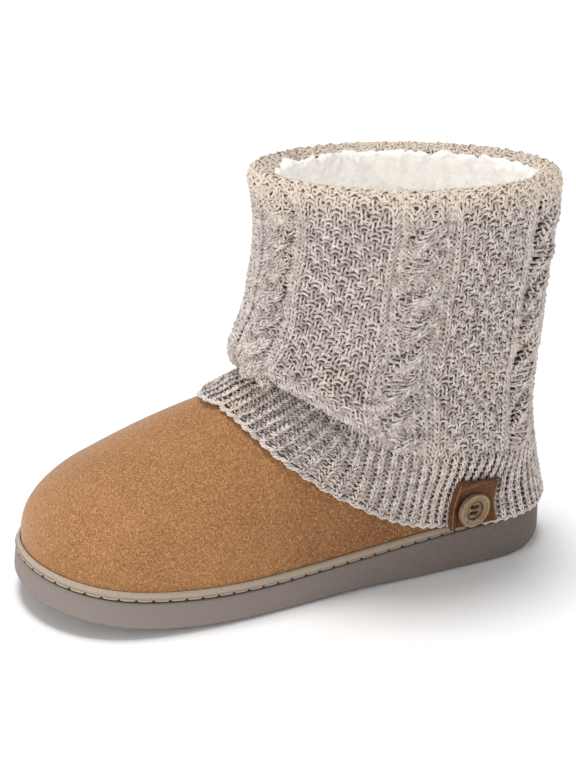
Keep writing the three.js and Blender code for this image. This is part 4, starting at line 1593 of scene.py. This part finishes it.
@dataclass
class GrooveSeam:
    """The seam between outsole and welt: a dark thread, and a lip with a notch at each stitch."""

    foot: Foot
    pitch: float = 7.2 * MM
    lip_radius: float = 0.42 * MM
    lip_inset: float = 0.42 * MM
    lip_height: float = 0.75 * MM
    notch: float = 0.7 * MM
    notch_span: float = 0.09
    notch_inset: float = 0.3 * MM
    notch_pinch: float = 0.45
    sides: int = 6
    thread_radius: float = 0.4 * MM
    thread_inset: float = 0.7 * MM
    thread_rise: float = 0.05 * MM
    hole_radius: float = 0.5 * MM
    steps: int = 1600

    def build(self) -> None:
        """Makes the lip, the thread and the needle holes."""
        turn = np.linspace(0, 2 * np.pi, self.steps, endpoint=False)
        line = self.foot.edge(turn, self.lip_inset)
        run = run_along(line)
        count = round(run[-1] / self.pitch)
        phase = run / run[-1] * count
        near = np.exp(-(((phase + 0.5) % 1 - 0.5) / self.notch_span) ** 2)
        z = self.foot.top(line[:, 0]) + self.lip_height + self.notch * near
        inward = self.foot.edge(turn, self.lip_inset + self.notch_inset) - line
        path = np.column_stack([line + inward * near[:, None], z])
        radius = self.lip_radius * (1 - self.notch_pinch * near)
        lip = tube_along("welt_lip", path, radius, self.sides, True)
        dress(lip, Finish.WELT, "welt_rubber")
        line = self.foot.edge(turn, self.thread_inset)
        path = np.column_stack([line, self.foot.top(line[:, 0]) + self.thread_rise])
        radius = np.full(len(path), self.thread_radius)
        parts = [tube_along("groove_thread", path, radius, self.sides, True)]
        for k in range(count):
            t = np.interp(k, phase, turn)
            x, y = self.foot.edge(t, self.lip_inset)
            bpy.ops.mesh.primitive_uv_sphere_add(
                segments=8, ring_count=6, radius=self.hole_radius,
                location=(x, y, self.foot.top(x) + self.lip_height),
            )
            hole = bpy.context.active_object
            bpy.ops.object.transform_apply(location=True, rotation=True, scale=True)
            parts.append(hole)
        thread = joined("groove_thread", parts)
        dress(thread, Finish.GROOVE, "welt_rubber")
        log.info("%s and %s: %d stitches", lip.name, thread.name, count)


@dataclass
class Shoe:
    """The sole, welt, insole and suede upper, refined from their CAD solids."""

    nodes: dict
    upper_swell: float = 0.3 * MM

    def build(self) -> bpy.types.Object:
        """Makes the smooth pieces.

        Returns:
            The upper.
        """
        plan = (
            ("outsole", "moulded_outsole", 40, 2, Finish.SOLE, "sole_rubber"),
            ("welt", "smooth_welt", 60, 2, Finish.WELT, "welt_rubber"),
            ("insole", "fleece_insole", 50, 2, Finish.FLEECE, "insole_fleece"),
            ("upper", "suede_upper", 60, 2, Finish.SUEDE, "suede"),
        )
        made = {}
        for node, name, sharp, levels, finish, slot in plan:
            piece = refined(self.nodes[node], name, sharp, levels)
            if node == "upper":
                apply_modifier(piece, "DISPLACE", strength=self.upper_swell, mid_level=0.0)
            made[node] = dress(piece, finish, slot, node)
            log.info("%s: %d faces", name, len(piece.data.polygons))
        return made["upper"]


@dataclass
class Tab:
    """The suede tab, its folded strips and seams, and the sewn button."""

    nodes: dict
    drop: float = 1.6 * MM
    corner: float = 2.6 * MM
    strip: float = 3.2 * MM
    strip_rise: float = 0.9 * MM
    strip_slope: float = 0.5 * MM
    strip_tilt: float = 0.06
    crease: float = 0.45 * MM
    crease_width: float = 0.55 * MM
    crease_gap: float = 0.3 * MM
    corner_out: float = 0.35
    seam_inset: float = 1.2 * MM
    seam_pitch: float = 1.3 * MM
    seam_radius: float = 0.2 * MM
    seam_span: tuple = (0.1, 0.75)
    seam_bend: tuple = (-0.5, 0.4, 0.7, 0.4, -0.5)
    button_diameter: float = 16 * MM
    rim_share: float = 0.475
    rim_radius: float = 0.75 * MM
    rim_depth: float = 0.55 * MM
    dish_share: float = 0.27
    dish_radius: float = 0.2 * MM
    dish_depth: float = 0.75 * MM
    button_turn: float = 5.0
    button_scale: float = 1.05
    hole_offset: float = 1.5 * MM
    thread_radius: float = 0.42 * MM
    thread_spread: float = 0.4 * MM
    thread_depth: float = 1.5 * MM
    thread_rise: float = 1.0 * MM
    thread_points: int = 13

    def build(self) -> None:
        """Makes the tab, its seams, the button, its thread and the painted shade around its dish."""
        tab = refined(self.nodes["button_tab"], "suede_tab", 50, 4)
        self.fold(tab)
        dress(tab, Finish.TAB, "tab_suede", "button_tab")
        button = refined(self.nodes["button"], "horn_button", 30, 2)
        low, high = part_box("button")
        centre = (low + high) / 2
        self.settle(button, centre)
        dress(button, Finish.BUTTON, "button_horn", "button")
        axes = self.button_axes(button)
        self.rim(axes)
        self.thread(axes)
        self.seams(tab)
        log.info("%s and %s made", tab.name, button.name)

    def fold(self, tab: bpy.types.Object) -> None:
        """Raises the strips along the top and the toe side, with a crease inside them.

        Args:
            tab: the tab.
        """
        points, normals = points_of(tab), points_of(tab, "normal")
        low, high = points.min(0), points.max(0)
        side = self.side_line(points)
        from_top = high[2] - points[:, 2] - self.strip_tilt * (high[0] - points[:, 0])
        from_side = points[:, 0] - np.interp(points[:, 2], side[:, 0], side[:, 1])
        away = np.minimum(from_top, from_side)
        outer = smooth_step(-normals[:, 1], 0.3, 0.6)
        rise = self.strip_rise * (1 - smooth_step(away, self.strip - self.strip_slope, self.strip))
        rise = rise * smooth_step(away, 0, self.strip_slope)
        past = (away - self.strip - self.crease_gap) / self.crease_width
        trough = self.crease * np.exp(-(past**2))
        points = points + normals * ((rise - trough) * outer)[:, None]
        share = (points - low) / (high - low)
        widen = self.corner * share[:, 0] * (1 - share[:, 2])
        points[:, 0] += widen
        points[:, 1] += self.corner_out * widen
        points[:, 2] -= self.drop
        tab.data.vertices.foreach_set("co", points.ravel())
        tab.data.update()

    def side_line(self, points: Array) -> Array:
        """The tab's edge on the toe side.

        Args:
            points: the tab's points.

        Returns:
            Rows of a height and the edge's x there.
        """
        heights = np.linspace(points[:, 2].min(), points[:, 2].max(), 9)
        reach = (heights[1] - heights[0]) * 0.7
        rows = [(z, points[np.abs(points[:, 2] - z) < reach, 0].min()) for z in heights]
        return np.array(rows)

    def settle(self, button: bpy.types.Object, centre: Vector) -> None:
        """Turns the button a little to the heel and moves it down with the tab.

        Args:
            button: the button.
            centre: its middle.
        """
        move = Matrix.Translation(centre - Vector((0, 0, self.drop)))
        turn = Matrix.Rotation(math.radians(self.button_turn), 4, "Z")
        grow = Matrix.Scale(self.button_scale, 4)
        button.data.transform(move @ turn @ grow @ Matrix.Translation(-centre))

    def button_axes(self, button: bpy.types.Object) -> Matrix:
        """The button's own axes.

        Args:
            button: the button.

        Returns:
            Axes whose Z looks out of its face, from the middle of its highest plane.
        """
        points = points_of(button)
        middle = (points.min(0) + points.max(0)) / 2
        _, _, axes = np.linalg.svd(points - points.mean(0), full_matrices=False)
        out = Vector(axes[2])
        out = -out if out.y > 0 else out
        across = Vector((0, 0, 1)).cross(out).normalized()
        up = out.cross(across)
        frame = Matrix((across, up, out)).transposed().to_4x4()
        front = max((Vector(p) - Vector(middle)).dot(out) for p in points)
        return Matrix.Translation(Vector(middle) + out * front) @ frame

    def ring(self, axes: Matrix, major: float, minor: float, depth: float) -> bpy.types.Object:
        """A torus in the button's plane.

        Args:
            axes: the button's axes.
            major: radius of the ring.
            minor: radius of its section.
            depth: how far it lies under the button's highest point.

        Returns:
            The torus.
        """
        bpy.ops.object.select_all(action="DESELECT")
        bpy.ops.mesh.primitive_torus_add(
            major_radius=major, minor_radius=minor, major_segments=64, minor_segments=12
        )
        ring = bpy.context.active_object
        ring.data.transform(axes @ Matrix.Translation((0, 0, -depth)))
        return ring

    def rim(self, axes: Matrix) -> None:
        """Adds the button's raised rim.

        Args:
            axes: the button's axes.
        """
        major = self.button_diameter * self.rim_share
        ring = self.ring(axes, major, self.rim_radius, self.rim_depth)
        ring.name = "button_rim"
        dress(ring, Finish.RIM, "button_horn")

    def thread(self, axes: Matrix) -> None:
        """Adds loops of thread through the holes, and a dark ring around the dish that is painted shade
        in its edge.

        Args:
            axes: the button's axes.
        """
        dish = self.button_diameter * self.dish_share
        # Painted shade: a dark ring of thread colour lies in the edge of the dish
        parts = [self.ring(axes, dish, self.dish_radius, self.dish_depth)]
        t = np.linspace(0, np.pi, self.thread_points)
        radius = np.full(self.thread_points, self.thread_radius)
        for level in (-1, 1):
            for side in (-1, 1):
                x = self.hole_offset * np.cos(t) * 1.05
                y = level * self.hole_offset + side * self.thread_spread * np.sin(t)
                z = -self.thread_depth + self.thread_rise * np.sin(t)
                tube = tube_along("thread_loop", np.column_stack([x, y, z]), radius, 6, False)
                tube.data.transform(axes)
                parts.append(tube)
        thread = joined("button_thread_and_dish_shade", parts)
        dress(thread, Finish.THREAD, "button_horn")

    def seams(self, tab: bpy.types.Object) -> None:
        """Sews a line of small stitches down both sides of the tab.

        Args:
            tab: the tab.
        """
        tree = BVHTree.FromObject(tab, bpy.context.evaluated_depsgraph_get())
        points = points_of(tab)
        bend = self.seam_radius * np.array(self.seam_bend)
        radius = np.full(len(bend), self.seam_radius)
        toe_side = self.side_line(points)
        mirrored = points * np.array([-1, 1, 1])
        heel_side = self.side_line(mirrored) * np.array([1, -1])
        parts = []
        for line, inward in ((toe_side, 1), (heel_side, -1)):
            bottom, top = line[0, 0] + self.seam_inset, line[-1, 0] - self.seam_inset
            for k in range(int((top - bottom) / self.seam_pitch)):
                path = []
                for z in bottom + (k + np.linspace(*self.seam_span, len(bend))) * self.seam_pitch:
                    x = np.interp(z, line[:, 0], line[:, 1]) + inward * self.seam_inset
                    hit = tree.ray_cast(Vector((x, -0.1, z)), Vector((0, 1, 0)))[0]
                    if hit:
                        path.append(hit)
                if len(path) == len(bend):
                    bent = np.array(path)
                    bent[:, 1] -= bend
                    parts.append(tube_along("seam", bent, radius, 6, False))
        seam = joined("tab_seams", parts)
        dress(seam, Finish.SEAM, "tab_suede")


@dataclass
class Studio:
    """Floor, light and the camera at the photo's angle."""

    azimuth: float = -24.67
    elevation: float = 19.71
    distance: float = 624.2 * MM
    slide: float = -5.322 * MM
    height: float = 86.09 * MM
    roll: float = 2.15
    focal_pixels: float = 1373.6
    frame_height: int = 768
    sensor: float = 36.0
    floor_radius: float = 4.5
    floor_sides: int = 128
    wall_height: float = 1.0
    floor_glow: float = 0.5
    glow_from: tuple = (0.3, 2.0)
    ambient: float = 0.4
    aim: float = 80 * MM
    key_toward: tuple = (-0.06, 0.12, 1.0)
    key_spread: float = 18
    key_power: float = 1.85
    fill_place: tuple = (-1.6, -0.7, 0.4)
    fill_size: float = 0.9
    fill_power: float = 8.0

    def camera(self) -> None:
        """Places the camera."""
        a, e = math.radians(self.azimuth), math.radians(self.elevation)
        back = Vector((math.sin(a) * math.cos(e), -math.cos(a) * math.cos(e), math.sin(e)))
        right = Vector((math.cos(a), math.sin(a), 0))
        up = back.cross(right)
        target = right * self.slide + Vector((0, 0, self.height))
        c, s = math.cos(math.radians(self.roll)), math.sin(math.radians(self.roll))
        axes = Matrix((right * c + up * s, up * c - right * s, back)).transposed()
        data = bpy.data.cameras.new("camera")
        data.sensor_width = self.sensor
        data.lens = self.focal_pixels * self.sensor / self.frame_height
        data.clip_end = 100
        camera = bpy.data.objects.new("camera", data)
        camera.matrix_world = Matrix.Translation(target + back * self.distance) @ axes.to_4x4()
        bpy.context.scene.collection.objects.link(camera)
        bpy.context.scene.camera = camera

    def floor(self) -> None:
        """Lays the pale floor, which ends in a low wall far away so that no horizon shows."""
        round_edge = {"vertices": self.floor_sides, "radius": self.floor_radius}
        bpy.ops.mesh.primitive_circle_add(fill_type="NGON", **round_edge)
        floor = bpy.context.active_object
        bpy.ops.mesh.primitive_cylinder_add(
            depth=self.wall_height, end_fill_type="NOTHING",
            location=(0, 0, self.wall_height / 2), **round_edge,
        )
        wall = bpy.context.active_object
        bpy.ops.object.transform_apply(location=True, rotation=True, scale=True)
        floor = joined("floor", [floor, wall])
        floor.data.materials.append(self.paper())

    def paper(self) -> bpy.types.Material:
        """White paper that glows only far from the shoe, so that it stays white around the shadow.

        Returns:
            The material.
        """
        recipe = Recipe("floor_paper")
        x, y = recipe.axis("X"), recipe.axis("Y")
        away = ((x * x + y * y) ** 0.5).between(*self.glow_from)
        white = paint(255, 255, 255)
        recipe.set(Base_Color=white, Roughness=1.0, Specular_IOR_Level=0.0)
        recipe.set(Emission_Color=recipe.blend(away, (0, 0, 0, 1), white))
        recipe.set(Emission_Strength=self.floor_glow)
        return recipe.material

    def light(self, name: str, place: tuple, size: float, power: float) -> None:
        """Hangs one soft light that faces the shoe.

        Args:
            name: the light's name.
            place: where it hangs.
            size: length of its sides.
            power: watts.
        """
        data = bpy.data.lights.new(name, "AREA")
        data.energy = power
        data.size = size
        light = bpy.data.objects.new(name, data)
        light.location = place
        toward = Vector((0, 0, self.aim)) - Vector(place)
        light.rotation_euler = toward.to_track_quat("-Z", "Y").to_euler()
        bpy.context.scene.collection.objects.link(light)

    def sun(self, name: str, toward: tuple, spread: float, power: float) -> None:
        """Hangs a broad light that is even all over the floor.

        Args:
            name: the light's name.
            toward: its direction from the shoe.
            spread: its width in degrees.
            power: its strength.
        """
        data = bpy.data.lights.new(name, "SUN")
        data.energy = power
        data.angle = math.radians(spread)
        sun = bpy.data.objects.new(name, data)
        sun.rotation_euler = (-Vector(toward)).to_track_quat("-Z", "Y").to_euler()
        bpy.context.scene.collection.objects.link(sun)

    def build(self) -> None:
        """Sets up the whole studio."""
        self.camera()
        self.floor()
        self.sun("key", self.key_toward, self.key_spread, self.key_power)
        self.light("fill", self.fill_place, self.fill_size, self.fill_power)
        world = bpy.data.worlds.new("studio")
        world.use_nodes = True
        sky = world.node_tree.nodes["Background"].inputs
        sky["Color"].default_value = (1, 1, 1, 1)
        sky["Strength"].default_value = self.ambient
        bpy.context.scene.world = world
        bpy.context.scene.view_settings.view_transform = "Standard"
        log.info("studio ready")


def main() -> None:
    """Builds the slipper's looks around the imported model."""
    logging.basicConfig(level=logging.INFO, format="%(name)s %(message)s")
    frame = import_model()
    nodes = frame["nodes"]
    Studio().build()
    upper = Shoe(nodes).build()
    tree = BVHTree.FromObject(upper, bpy.context.evaluated_depsgraph_get())
    foot = Foot()
    sleeve = Sleeve(foot)
    sleeve.build(tree)
    Knitting(sleeve).build()
    backing = Backing(sleeve).build()
    Lining(sleeve).build((backing, tree))
    GrooveSeam(foot).build()
    Tab(nodes).build()


if __name__ == "__main__":
    main()
